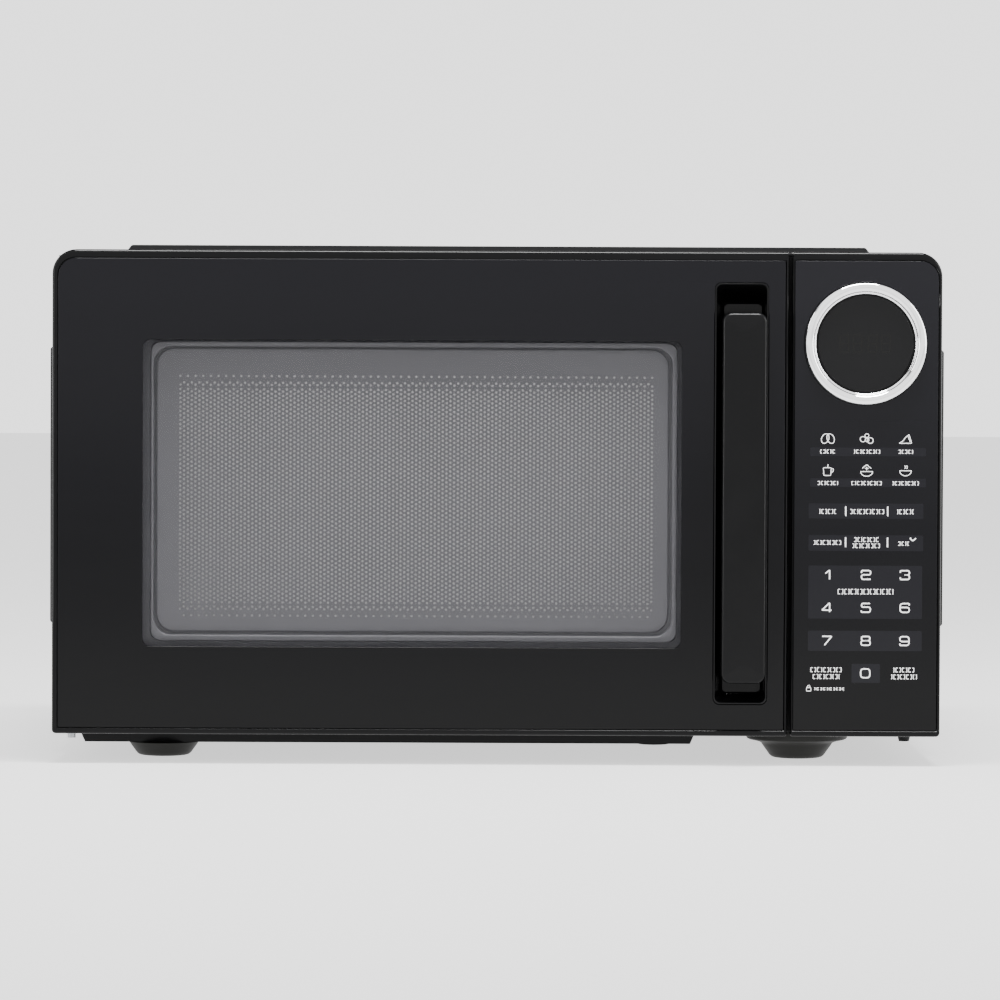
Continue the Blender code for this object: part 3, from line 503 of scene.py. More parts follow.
def turned_mesh(name, profile, center, axis="Z", sides=96):
    """A turned shape from (radius, height) points. A profile that starts off the axis closes into a ring."""
    form = bmesh.new()
    turn = {"Z": Matrix.Identity(4), "Y": Matrix.Rotation(math.pi / 2, 4, "X")}[axis]
    place = Matrix.Translation(Vector(center) * MM) @ turn
    rows = []
    for radius, height in profile:
        count = sides if radius else 1
        row = []
        for side in range(count):
            angle = 2 * math.pi * side / sides
            point = Vector((radius * math.cos(angle), radius * math.sin(angle), height)) * MM
            row.append(form.verts.new(place @ point))
        rows.append(row)
    if profile[0][0]:
        rows.append(rows[0])
    for row, following in zip(rows, rows[1:]):
        for side in range(sides):
            after = (side + 1) % sides
            corners = [row[side % len(row)], row[after % len(row)]]
            corners += [following[after % len(following)], following[side % len(following)]]
            unique = list(dict.fromkeys(corners))
            if len(unique) > 2:
                form.faces.new(unique)
    return mesh_from(form, name)


def cut(obj, cutter):
    """Cuts the cutter out of the object, and removes the cutter."""
    modifier = obj.modifiers.new("cut", "BOOLEAN")
    modifier.operation = "DIFFERENCE"
    modifier.object = cutter
    apply_modifiers(obj)
    bpy.data.objects.remove(cutter, do_unlink=True)


def cut_blocks(obj, blocks):
    """Cuts the blocks, each given by its x, y and z ranges, out of the object."""
    for x, y, z in blocks:
        cut(obj, new_object("cutter", block_mesh("cutter", x, y, z)))


def quarter(steps=7):
    """(sine, cosine share left) pairs over a quarter turn, for a rounded edge."""
    angles = [math.pi / 2 * step / (steps - 1) for step in range(steps)]
    return [(math.sin(angle), 1 - math.cos(angle)) for angle in angles]


# The front: door bezel and panel housing share one edge profile.

BEZEL_ROUND = 1.9
BEZEL_LIP = 0.9
SEAT_GAP = 0.3
WALL = 2.5
FOOT_CORNERS = 1.0
HINGE_CORNER = 2.0


def bezel_mesh(name, area, corners, widths, seat, back):
    """A housing's outer wall, rounded over at the face and stepped down to the seat of its glass."""
    rounds = tuple(max(width - BEZEL_LIP, 0.6) for width in widths)
    loops = []

    def loop(insets, y):
        radii = []
        for radius, sides in zip(corners, ((0, 2), (1, 2), (1, 3), (0, 3))):
            radii.append(max(radius - (insets[sides[0]] + insets[sides[1]]) / 2, 0.25))
        loops.append(at_depth(rounded(*shrunk(area, insets), tuple(radii)), y))

    loop((0, 0, 0, 0), back)
    for sine, lost in quarter(8):
        loop(tuple(size * lost for size in rounds), FACE_Y + BEZEL_ROUND * (1 - sine))
    loop(tuple(width - 0.55 for width in widths), FACE_Y)
    loop(tuple(width - SEAT_GAP for width in widths), FACE_Y + 0.25)
    loop(tuple(width - SEAT_GAP for width in widths), seat + 0.4)
    loop((WALL,) * 4, seat + WALL)
    loop((WALL,) * 4, back)
    return loft_mesh(name, loops, closed=True)


def rim_widths(outer, inner):
    """The rim left round the inner area, as (left, right, low, high)."""
    return (inner[0] - outer[0], outer[1] - inner[1], inner[2] - outer[2], outer[3] - inner[3])


def door_bezel():
    """The door's outer moulding, notched for the hinge brackets, with a bearing block above each pin."""
    area = (DOOR_LEFT, DOOR_RIGHT, FACE_BOTTOM, FACE_TOP)
    widths = rim_widths(area, (GLASS_LEFT, GLASS_RIGHT, GLASS_BOTTOM, GLASS_TOP))
    corners = (HINGE_CORNER, FOOT_CORNERS, FOOT_CORNERS, TOP_CORNER)
    mesh = bezel_mesh("door_bezel", area, corners, widths, GLASS_BACK, DOOR_WALL_BACK)
    bezel = add_piece("door_bezel", mesh, "door", "bezel_plastic", ["door_frame"])
    notches = []
    for low in (19.4, 243.4):
        notches.append(((-230.0, -216.0), (-147.0, -120.0), (low, low + 3.0)))
    cut_blocks(bezel, notches)
    settle(bezel, "door", "bezel_plastic", ["door_frame"])
    for name, low, high in (("hinge_bearing_lower", 18.0, 19.4), ("hinge_bearing_upper", 246.4, 252.0)):
        bearing = block_mesh(name, (-218.0, -205.5), (-146.0, DOOR_WALL_BACK - 0.4), (low, high))
        soften(add_piece(name, bearing, "door", "bezel_plastic", ["door_frame"]), 0.3)


def door_backing():
    """The door's moulded middle behind the glass, with the window and the handle pocket left open."""
    outline = rounded(DOOR_LEFT + 2.4, DOOR_RIGHT - 1.5, FACE_BOTTOM + 2.2, FACE_TOP - 3.1, (1, 1, 1, 9))
    window = rounded(-187.0, 97.0, 48.0, 222.0, 5.0)
    pocket = rounded(*grown(RECESS, 2.3), 4.0)
    mesh = sheet_mesh("door_backing", [outline, window, pocket], GLASS_BACK + 0.35, GLASS_BACK + WALL)
    add_piece("door_backing", mesh, "door", "bezel_plastic", ["door_frame"])


def handle_pocket():
    """The pocket's walls lean inwards to its floor, more at the top and the left."""
    lean = (4.2, 1.4, 3.4, 8.8)
    shell = 1.9
    lip = 0.2
    edge = 0.5
    floor = shrunk(RECESS, lean)
    loops = [
        at_depth(rounded(*grown(floor, shell), 3.6), RECESS_FLOOR + 2.2),
        at_depth(rounded(*grown(RECESS, shell), 4.2), GLASS_BACK + 0.2),
        at_depth(rounded(*grown(RECESS, lip), 3.2), GLASS_BACK - 0.1),
        at_depth(rounded(*grown(RECESS, lip), 3.2), FACE_Y + edge),
    ]
    for sine, lost in quarter(5):
        loops.append(at_depth(rounded(*grown(RECESS, lip - 0.75 * lost), 3.0), FACE_Y + edge * (1 - sine)))
    loops.append(at_depth(rounded(*grown(RECESS, -0.9), 2.6), FACE_Y + 0.7))
    for share in (0.25, 0.5, 0.75, 0.93):
        sides = tuple(0.9 + (size - 0.9) * share for size in lean)
        loops.append(at_depth(rounded(*shrunk(RECESS, sides), 2.4), FACE_Y + (RECESS_FLOOR - FACE_Y) * share))
    loops.append(at_depth(rounded(*shrunk(floor, (0.5,) * 4), 2.2), RECESS_FLOOR - 0.4))
    loops.append(at_depth(rounded(*shrunk(floor, (1.6,) * 4), 1.6), RECESS_FLOOR))
    mesh = loft_mesh("handle_pocket", loops, first_cap=True, last_cap=True)
    add_piece("handle_pocket", mesh, "door", "pocket_plastic", ["door_frame"], 50)


def door_glass():
    """Printed black all round; the clear window is a piece of its own in the same plane."""
    outline = rounded(GLASS_LEFT, GLASS_RIGHT, GLASS_BOTTOM, GLASS_TOP, (1.0, 0.8, 0.8, TOP_CORNER - 3.0))
    window = rounded(*WINDOW, WINDOW_CORNER)
    recess = rounded(*grown(RECESS, SEAT_GAP), 3.3)
    border = sheet_mesh("glass_border", [outline, window, recess], FACE_Y, GLASS_BACK, 0.35)
    add_piece("glass_border", border, "door", "door_glass", ["door_glass"])
    pane = rounded(*grown(WINDOW, -0.02), WINDOW_CORNER)
    loops = [at_depth(pane, y) for y in (FACE_Y + 0.05, GLASS_BACK)]
    mesh = loft_mesh("glass_window", loops, True, True)
    add_piece("glass_window", mesh, "door", "window_glass", ["door_glass"])


def handle():
    """The grip has a slightly crowned face and well rounded edges, and stands on two posts."""
    edge = 2.0
    corner = 4.6
    crown = 0.5
    post_height = 9.0
    area = (GRIP_LEFT, GRIP_RIGHT, GRIP_BOTTOM, GRIP_TOP)
    loops = [at_depth(rounded(*shrunk(area, (0.8,) * 4), corner - 0.8), -157.5)]
    loops.append(at_depth(rounded(*area, corner), -158.3))
    for sine, lost in quarter(8):
        inset = shrunk(area, (edge * lost,) * 4)
        loops.append(at_depth(rounded(*inset, corner - edge * lost), GRIP_FRONT + crown + edge * (1 - sine)))
    loops.append(at_depth(rounded(*shrunk(area, (edge + 3.5,) * 4), 1.0), GRIP_FRONT + 0.08))
    loops.append(at_depth(rounded(*shrunk(area, (edge + 7.5,) * 4), 0.5), GRIP_FRONT))
    mesh = loft_mesh("handle_grip", loops, True, True)
    add_piece("handle_grip", mesh, "door", "grip_plastic", ["handle_bar"], 60)
    for name, z in (("handle_post_lower", 52.0), ("handle_post_upper", 206.0)):
        post = block_mesh(name, (121.5, 131.0), (-158.0, RECESS_FLOOR - 0.3), (z, z + post_height))
        soften(add_piece(name, post, "door", "grip_plastic", ["handle_bar"]), 1.2)


# The screen: a pressed steel pan with stepped edges and a field of fine holes.

# Holes stand HOLE_PITCH apart in their columns, and every second column is half a pitch lower
HOLE_PITCH = 2.182
COLUMN_PITCH = 1.888
HOLE_RADIUS = 0.62
COLUMNS = 125
ROWS = 55
PLATE_Y = -153.4
PLATE_THICK = 0.5
# The centre of the field's lowest hole row and first column
FIELD_X = -157.1
FIELD_Z = 73.37


def holds_hole(half_row):
    """The field is thinned along its lower and upper edge: three half rows there have no holes."""
    last = 2 * ROWS - 1
    return min(half_row, last - half_row) not in (1, 2, 5)


def hole_field(name, columns):
    """Part of the perforated field: each cell is a rectangle with an eight-sided hole through it."""
    half_width = COLUMN_PITCH / 2
    half_height = HOLE_PITCH / 2
    form = bmesh.new()
    found = {}

    def vertex(x, z, y):
        key = (round(x, 3), round(z, 3), round(y, 2))
        if key not in found:
            found[key] = form.verts.new(Vector((x, y, z)) * MM)
        return found[key]

    planes = (PLATE_Y, PLATE_Y + PLATE_THICK)
    around = [(0, 1), (-1, 1), (-1, 0), (-1, -1), (0, -1), (1, -1), (1, 0), (1, 1)]
    for column in columns:
        x = FIELD_X + column * COLUMN_PITCH
        shifted = 1 - column % 2
        for row in range(ROWS):
            half_row = 2 * row + shifted
            z = FIELD_Z + half_row * half_height
            low = z - half_height
            high = z + half_height
            rim = {}
            for y in planes:
                outer = []
                for across, up in around:
                    outer.append(vertex(x + across * half_width, z + up * half_height, y))
                if holds_hole(half_row):
                    inner = []
                    for across, up in around:
                        angle = math.atan2(up, across)
                        rim_x = x + HOLE_RADIUS * math.cos(angle)
                        inner.append(vertex(rim_x, z + HOLE_RADIUS * math.sin(angle), y))
                    for index in range(len(around)):
                        after = (index + 1) % len(around)
                        form.faces.new((outer[index], outer[after], inner[after], inner[index]))
                    rim[y] = inner
                else:
                    form.faces.new(outer)
            if rim:
                front, behind = rim[planes[0]], rim[planes[1]]
                for index in range(len(around)):
                    after = (index + 1) % len(around)
                    form.faces.new((front[index], front[after], behind[after], behind[index]))
            if row == (0 if shifted else ROWS - 1):
                base, tip = (low, low - half_height) if shifted else (high, high + half_height)
                for y in planes:
                    corners = [(x - half_width, base), (x, base), (x + half_width, base)]
                    corners += [(x + half_width, tip), (x - half_width, tip)]
                    form.faces.new([vertex(px, pz, y) for px, pz in corners])
    return mesh_from(form, name)


def door_screen():
    """The hole field, the stepped surround that folds into it, and the pan's walls and flange behind."""
    middle = COLUMNS // 2
    for side, columns in (("left", range(middle)), ("right", range(middle, COLUMNS))):
        name = "screen_field_" + side
        add_piece(name, hole_field(name, columns), "door", "screen_paint", ["door_screen"], 30)
    field = (
        FIELD_X - COLUMN_PITCH / 2,
        FIELD_X + (COLUMNS - 0.5) * COLUMN_PITCH,
        FIELD_Z - HOLE_PITCH / 2,
        FIELD_Z + ROWS * HOLE_PITCH,
    )
    # (insets from the window's edge, corner radius, depth), from the flange inwards to the field
    steps = (
        ((-11.0, -8.0, -11.0, -11.0), 6.0, -149.6),
        ((-1.4, -1.4, -1.4, -1.4), 4.6, -149.8),
        ((-0.9, -0.9, -0.9, -0.9), 4.5, -151.6),
        ((-0.3, -0.3, -0.3, -0.3), 4.4, -151.9),
        ((3.4, 1.7, 2.3, 0.8), 5.0, -152.1),
        ((3.7, 2.0, 2.6, 1.0), 5.2, -154.6),
        ((3.9, 2.2, 2.9, 1.15), 5.4, -154.9),
        ((4.4, 3.4, 4.6, 2.2), 6.5, -155.0),
        ((4.9, 4.2, 5.2, 3.1), 8.0, -154.95),
        ((5.2, 4.5, 5.5, 3.35), 8.6, -154.6),
        ((5.35, 4.7, 5.7, 3.5), 8.8, -151.4),
        ((6.4, 6.0, 6.9, 4.25), 8.8, -151.4),
        ((6.55, 6.2, 7.2, 4.4), 8.8, -152.9),
        ((6.8, 6.5, 7.9, 4.7), 8.8, -153.3),
        ((7.6, 7.4, 10.0, 6.2), 8.6, PLATE_Y),
    )
    loops = [at_depth(rounded(*shrunk(WINDOW, sides), radius), y) for sides, radius, y in steps]
    loops.append(at_depth(rounded(*shrunk(WINDOW, (8.2, 8.0, 10.6, 6.8)), 8.4), PLATE_Y))
    loops.append(at_depth(rounded(*grown(field, 0.25), 0.001), PLATE_Y))
    loops.append(at_depth(rounded(*field, 0.001), PLATE_Y))
    front = loft_mesh("screen_surround", loops)
    if front.polygons[-1].normal.y > 0:
        front.flip_normals()
    surround = add_piece("screen_surround", front, "door", "screen_paint", ["door_screen"], 50)
    thick = surround.modifiers.new("sheet", "SOLIDIFY")
    thick.thickness = PLATE_THICK * MM
    thick.offset = -1.0
    across = (SCREEN_LEFT, SCREEN_RIGHT)
    upward = (SCREEN_BOTTOM, SCREEN_TOP)
    pan = block_mesh("screen_pan", across, (-149.9, SCREEN_BACK), upward)
    form = bmesh.new()
    form.from_mesh(pan)
    flats = [face for face in form.faces if abs(face.normal.y) > 0.9]
    bmesh.ops.delete(form, geom=flats, context="FACES")
    form.to_mesh(pan)
    form.free()
    walls = add_piece("screen_pan_walls", pan, "door", "zinc_steel", ["door_screen"])
    sheet = walls.modifiers.new("sheet", "SOLIDIFY")
    sheet.thickness = 0.8 * MM
    rim = rounded(*across, *upward, 2.0)
    opening = rounded(*shrunk(WINDOW, (-10.0, -7.0, -10.0, -10.0)), 5.0)
    flange = sheet_mesh("screen_flange", [rim, opening], -150.1, -149.6)
    add_piece("screen_flange", flange, "door", "zinc_steel", ["door_screen"])


def inner_film():
    """The clear sheet that closes the screen's back."""
    outline = rounded(-183.0, 96.0, 50.0, 219.0, 4.0)
    film = loft_mesh("door_clear_film", [at_depth(outline, y) for y in (-147.6, -147.2)], True, True)
    add_piece("door_clear_film", film, "door", "clear_film", ["door_inner_film"])


# The control panel: housing, key overlay, display and printed legends.


def control_panel():
    """The panel's moulding with its backing, and the key overlay with a round hole for the display."""
    area = (PANEL_LEFT, PANEL_RIGHT, FACE_BOTTOM, FACE_TOP)
    widths = rim_widths(area, (KEYS_LEFT, KEYS_RIGHT, KEYS_BOTTOM, KEYS_TOP))
    corners = (1.0, 2.0, TOP_CORNER, 1.0)
    housing = bezel_mesh("panel_housing", area, corners, widths, KEYS_BACK, PANEL_BACK)
    add_piece("panel_housing", housing, "oven", "bezel_plastic", ["control_panel"])
    outline = rounded(PANEL_LEFT + 1.0, PANEL_RIGHT - 1.5, FACE_BOTTOM + 2.2, FACE_TOP - 3.1, (1, 1, 9, 1))
    window = rounded(RING_X - 20, RING_X + 20, RING_Z - 11, RING_Z + 11, 1.5)
    backing = sheet_mesh("panel_backing", [outline, window], KEYS_BACK + 0.35, KEYS_BACK + WALL)
    add_piece("panel_backing", backing, "oven", "bezel_plastic", ["control_panel"])
    radius = (RING_RIGHT - RING_LEFT) / 2
    keys = rounded(KEYS_LEFT, KEYS_RIGHT, KEYS_BOTTOM, KEYS_TOP, (0.8, 1.0, TOP_CORNER - 3.0, 0.8))
    sheet = sheet_mesh("key_overlay", [keys, circle(RING_X, RING_Z, radius + 0.2)], FACE_Y, KEYS_BACK, 0.3)
    add_piece("key_overlay", sheet, "oven", "panel_glass", ["keypad_overlay"])


def display():
    """The chrome ring has a rounded outer side, a broad crest and a narrow lip round the lens."""
    outer = (RING_RIGHT - RING_LEFT) / 2
    inner = (LENS_RIGHT - LENS_LEFT) / 2 + 0.1
    crest = FACE_Y - RING_FRONT
    lip = 1.0
    step_up = 1.3
    profile = [(inner, -2.0), (inner, 0.5), (inner + 0.35, 0.95), (inner + 0.75, 1.0)]
    profile += [(inner + 0.95, step_up)]
    middle = (inner + lip + outer) / 2
    half = (outer - inner - lip) / 2
    for step in range(13):
        angle = math.pi * (1 - step / 12)
        across = math.copysign(abs(math.cos(angle)) ** 0.8, math.cos(angle))
        profile.append((middle + half * across, step_up + (crest - step_up) * math.sin(angle) ** 0.85))
    profile += [(outer, -0.1), (outer, -2.0)]
    ring = turned_mesh("chrome_ring", profile, (RING_X, FACE_Y, RING_Z), "Y", 192)
    add_piece("chrome_ring", ring, "oven", "chrome_trim", ["display_ring"], 50)
    height = LENS_BACK - LENS_FRONT
    rim = [(0.0, 0.0), (inner - 0.9, 0.0), (inner - 0.9, height - 0.3), (inner - 1.3, height)]
    lens = turned_mesh("lens_disc", [*rim, (0.0, height)], (RING_X, LENS_BACK, RING_Z), "Y", 128)
    add_piece("lens_disc", lens, "oven", "lens", ["display_lens"])


def bend(points, radius=1.1, closed=False, steps=6):
    """The points' polyline with its corners rounded."""
    count = len(points)
    rounded_points = []
    for index, corner in enumerate(points):
        if not closed and index in (0, count - 1):
            rounded_points.append(corner)
            continue
        here = Vector(corner)
        before = Vector(points[index - 1]) - here
        after = Vector(points[(index + 1) % count]) - here
        reach = min(radius, before.length * 0.48, after.length * 0.48)
        start = here + before.normalized() * reach
        end = here + after.normalized() * reach
        for step in range(steps + 1):
            share = step / steps
            point = start * (1 - share) ** 2 + here * 2 * share * (1 - share) + end * share**2
            rounded_points.append((point.x, point.y))
    return rounded_points


def oval(x, z, wide, high, tilt=0.0, sides=20):
    """Points round an oval whose long side is tilted, in degrees."""
    lean = math.radians(tilt)
    points = []
    for side in range(sides):
        turn = 2 * math.pi * side / sides
        across, up = wide * math.cos(turn), high * math.sin(turn)
        right = x + across * math.cos(lean) - up * math.sin(lean)
        points.append((right, z + across * math.sin(lean) + up * math.cos(lean)))
    return points


def printed(name, strokes, width, slot="legend_ink", y=FACE_Y - 0.03, body="oven"):
    """Raised print: each stroke is (points, whether it closes), drawn with the width and pressed flat."""
    curve = bpy.data.curves.new(name, "CURVE")
    curve.dimensions = "3D"
    curve.bevel_depth = width / 2 * MM
    curve.bevel_resolution = 2
    curve.use_fill_caps = True
    for points, closed in strokes:
        spline = curve.splines.new("POLY")
        spline.points.add(len(points) - 1)
        for point, (x, z) in zip(spline.points, points):
            point.co = (x * MM, 0.0, z * MM, 1.0)
        spline.use_cyclic_u = closed
    mesh = curve_mesh(curve)
    flat = Matrix.Diagonal((1.0, 0.1, 1.0, 1.0))
    mesh.transform(Matrix.Translation((0, y * MM, 0)) @ flat)
    return add_piece(name, mesh, body, slot)


DIGIT_WIDE = 4.5
DIGIT_HIGH = 4.35
# Each digit's strokes in a square of side 1: (points, whether the stroke closes)
DIGITS = {
    "0": [([(0, 0), (1, 0), (1, 1), (0, 1)], True)],
    "1": [([(0.32, 0.66), (0.74, 1), (0.78, 1), (0.78, 0)], False)],
    "2": [([(0, 0.72), (0, 1), (1, 1), (1, 0.52), (0, 0.52), (0, 0), (1, 0)], False)],
    "3": [
        ([(0, 0.76), (0, 1), (1, 1), (1, 0.52), (0.45, 0.52)], False),
        ([(0.45, 0.52), (1, 0.52), (1, 0), (0, 0), (0, 0.24)], False),
    ],
    "4": [([(0.8, 0), (0.8, 1), (0.74, 1), (0, 0.26), (0, 0.22), (1, 0.22)], False)],
    "5": [([(0.95, 1), (0.03, 1), (0.03, 0.58), (1, 0.58), (1, 0), (0, 0), (0, 0.2)], False)],
    "6": [([(1, 0.78), (1, 1), (0, 1), (0, 0), (1, 0), (1, 0.56), (0, 0.56)], False)],
    "7": [([(0, 1), (1, 1), (1, 0.94), (0.26, 0)], False)],
    "8": [
        ([(0.04, 0.52), (0.96, 0.52), (0.96, 1), (0.04, 1)], True),
        ([(0, 0), (1, 0), (1, 0.52), (0, 0.52)], True),
    ],
    "9": [([(0, 0.22), (0, 0), (1, 0), (1, 1), (0, 1), (0, 0.44), (1, 0.44)], False)],
}


def digit(mark, x, z, wide=DIGIT_WIDE, high=DIGIT_HIGH, radius=1.5):
    """The digit's strokes round the centre x, z, with their corners rounded."""
    strokes = []
    for points, closed in DIGITS[mark]:
        placed = [(x + (across - 0.5) * wide, z + (up - 0.5) * high) for across, up in points]
        strokes.append((bend(placed, radius, closed), closed))
    return strokes


def blocks_word(x, z, length, height=2.1):
    """A word's stand-in: a row of short open blocks of uneven length."""
    strokes = []
    sizes = (1.25, 0.95, 1.4, 1.1, 0.8, 1.3, 1.05)
    gap = 0.45
    at = x - length / 2
    index = int(length * 3) % len(sizes)
    while at < x + length / 2 - 0.5:
        size = min(sizes[index % len(sizes)], x + length / 2 - at)
        for up in (-0.5, 0.5):
            edge = z + up * (height - 0.5)
            strokes.append(([(at + 0.2, edge), (at + size - 0.1, edge)], False))
        side = at + (0.2 if index % 2 else size - 0.2)
        strokes.append(([(side, z - (height - 0.5) / 2), (side, z + (height - 0.5) / 2)], False))
        at += size + gap
        index += 1
    return strokes


def arc(x, z, wide, high, start, end, steps=12):
    """Points along an oval's arc between two angles in degrees."""
    points = []
    for step in range(steps + 1):
        turn = math.radians(start + (end - start) * step / steps)
        points.append((x + wide * math.cos(turn), z + high * math.sin(turn)))
    return points


def moved(points, x, z):
    return [(x + across, z + up) for across, up in points]


def icons(left, middle, right, first, second):
    """Pictograms for the six cooking programs, two rows of three."""
    upper = []
    for shift, tilt in ((-1.35, -24), (1.35, 24)):
        upper.append((oval(left + shift, first, 1.75, 2.5, tilt), True))
    for across, up, radius in ((0, 1.5, 0.95), (-1.9, -0.2, 1.35), (1.7, -0.9, 1.45), (0.1, -0.6, 0.9)):
        upper.append((oval(middle + across, first + up, radius, radius, 0, 14), True))
    slice_edge = moved([(-3.3, -2.2), (3.0, -2.2), (1.6, 2.2), (-0.4, 0.4), (-1.2, -0.9)], right, first)
    upper.append((bend(slice_edge, 0.5, True), True))
    upper.append((moved([(2.3, -1.6), (1.1, 1.4)], right, first), False))
    cup = moved([(-2.2, 1.5), (-1.9, -2.4), (1.5, -2.4), (1.8, 1.5)], left, second)
    bow = moved([(1.8, 1.2), (2.9, 0.9), (2.7, -0.5), (1.7, -0.9)], left, second)
    lower = [(bend(cup, 0.6, True), True), (bend(bow, 0.6), False)]
    lower.append((moved([(-0.1, 1.6), (0.2, 3.1)], left, second), False))
    lower.append((arc(middle, second - 0.4, 3.0, 2.3, 180, 360), False))
    lower.append((moved([(-3.0, -0.35), (3.0, -0.35)], middle, second), False))
    lower.append((bend(moved([(-2.2, 1.2), (0.0, 3.1), (2.2, 1.2)], middle, second), 0.6), False))
    lower.append((moved([(0.0, 0.2), (0.0, 1.9)], middle, second), False))
    lower.append((moved([(-0.9, 1.2), (0.9, 1.2)], middle, second), False))
    lower.append((arc(right, second + 0.1, 2.9, 2.5, 180, 360), False))
    lower.append((moved([(-2.9, 0.15), (2.9, 0.15)], right, second), False))
    for shift in (-0.35, 0.55):
        steam = moved([(shift, 1.1), (shift + 0.35, 1.8), (shift, 2.7)], right, second)
        lower.append((bend(steam, 0.3), False))
    return upper, lower


ICON_STROKE = 0.36
WORD_STROKE = 0.34
LOCK_STROKE = 0.32
BOLD_STROKE = 0.6
SEGMENT_STROKE = 0.7
# The faintly printed fields behind the keys
KEY_ZONES = (
    (155.2, 212.5, 154.0, 158.2),
    (155.2, 212.5, 138.7, 142.9),
    (154.6, 211.4, 123.0, 130.5),
    (154.6, 211.4, 107.0, 114.8),
    (154.6, 211.0, 73.4, 99.7),
    (154.6, 211.0, 57.4, 67.4),
    (176.3, 190.4, 41.6, 51.0),
)


def legends():
    """Everything printed on the overlay, row by row, as heights below the display's centre."""
    middle = RING_X + 0.8
    left, right = middle - 19.3, middle + 19.25
    first_row = RING_Z - 47.0
    second_row = RING_Z - 62.9
    top_icons, low_icons = icons(left, middle, right, first_row, second_row)
    printed("icons_upper", top_icons, ICON_STROKE)
    printed("icons_lower", low_icons, ICON_STROKE)
    words = []
    for drop, lengths in ((53.4, (7.6, 13.2, 7.3)), (69.0, (10.3, 15.2, 13.2))):
        for x, length in zip((left, middle, right), lengths):
            words += blocks_word(x, RING_Z - drop, length)
    for x, length in zip((left, middle + 0.3, right), (8.6, 17.0, 8.5)):
        words += blocks_word(x, RING_Z - 83.1, length, 2.5)
    words += blocks_word(left, RING_Z - 98.5, 13.8, 2.4)
    words += blocks_word(middle, RING_Z - 97.0, 12.4, 2.4)
    words += blocks_word(middle, RING_Z - 100.0, 13.9, 2.4)
    words += blocks_word(right - 0.8, RING_Z - 98.9, 5.6, 2.2)
    words += blocks_word(middle - 0.2, RING_Z - 122.8, 27.6, 2.8)
    for x, upper, lower in ((left - 0.1, 15.8, 13.4), (right - 0.2, 10.9, 13.0)):
        words += blocks_word(x, RING_Z - 161.6, upper, 2.5)
        words += blocks_word(x, RING_Z - 165.0, lower, 2.5)
    words += blocks_word(left + 1.6, RING_Z - 171.1, 15.6, 1.5)
    printed("label_bars", words, WORD_STROKE)
    leaf = [(right + 2.4, RING_Z - 96.0), (right + 3.6, RING_Z - 97.7), (right + 5.4, RING_Z - 96.2)]
    marks = [(bend(leaf, 1.2), False)]
    for x in ((left + middle) / 2 - 0.6, (middle + right) / 2 + 0.9):
        for drop in (82.9, 98.3):
            marks.append(([(x, RING_Z - drop - 2.4), (x, RING_Z - drop + 2.4)], False))
    printed("separators", marks, BOLD_STROKE)
    lock_x, lock_z = left - 8.8, RING_Z - 171.0
    body = rounded(lock_x - 1.1, lock_x + 1.1, lock_z - 1.2, lock_z + 0.5, 0.3, 3)
    shackle = arc(lock_x, lock_z + 0.5, 0.75, 1.1, 0, 180)
    printed("lock_icon", [(body, True), (shackle, False)], LOCK_STROKE)
    digits = []
    rows = (("123", 114.5), ("456", 130.8), ("789", 147.2))
    for marks_in_row, drop in rows:
        for mark, x in zip(marks_in_row, (left, middle, right)):
            digits += digit(mark, x, RING_Z - drop)
    digits += digit("0", middle - 0.1, RING_Z - 163.3)
    printed("digits", digits, BOLD_STROKE)
    for index, area in enumerate(KEY_ZONES):
        zone = sheet_mesh(f"key_zone_{index}", [rounded(*area, 0.6, 3)], FACE_Y - 0.02, FACE_Y + 0.1)
        add_piece(f"key_zone_{index}", zone, "oven", "panel_zone")
    display_segments()


def display_segments():
    """The clock's unlit segments, four figures with a colon between."""
    pitch = 6.6
    faint = []
    for index in range(4):
        x = RING_X - 10.7 + pitch * index + (0.8 if index > 1 else 0.0)
        faint += digit("0", x, RING_Z, 4.2, 8.4, 0.3)
        faint.append(([(x - 1.6, RING_Z), (x + 1.6, RING_Z)], False))
    for z in (RING_Z - 1.8, RING_Z + 1.8):
        faint.append(([(RING_X + 0.1, z - 0.2), (RING_X + 0.1, z + 0.2)], False))
    printed("display_segments", faint, SEGMENT_STROKE, "display_print", LENS_FRONT)


# The cabinet: one folded sheet with raised panels and vents, the feet under it, and the glass tray inside.

# The raised panels: the width of their slopes, the roof panel's longer ramps, and where they end
EMBOSS_SLOPE = 4.2
EMBOSS_RAMP = 13.0
EMBOSS_Y = (-104.0, 138.0)
ROOF_X = (-189.3, 190.3)
SIDE_Z = (63.5, 209.5)
COVER_HALF = 219.5
ROOF_Z = 254.0
BEND_RADIUS = 10.0
BEND_STEPS = 12
SHEET = 0.8
# The vents: each side's first slot, then eight slots a pitch apart
VENT_STARTS = ((-1, -84.0), (1, 40.0))
VENT_COUNT = 8
VENT_PITCH = 9.0
VENT_WIDE = 3.0
VENT_Z = (90.0, 134.0)


def eased(value):
    """From 0 to 1 with soft ends."""
    value = min(max(value, 0.0), 1.0)
    return value * value * (3 - 2 * value)


def lines(start, end, marks, spacing, slope=EMBOSS_SLOPE):
    """Grid lines from start to end: each mark's slope cut fine, with fill-ins at the spacing or closer."""
    fixed = [start, end]
    for mark, inward in marks:
        fixed += [mark + inward * slope * step / 6 for step in range(7)]
    fixed = sorted(set(round(value, 4) for value in fixed))
    full = []
    for here, following in zip(fixed, fixed[1:]):
        count = max(1, math.ceil((following - here) / spacing))
        full += [here + (following - here) * step / count for step in range(count)]
    return full + [fixed[-1]]


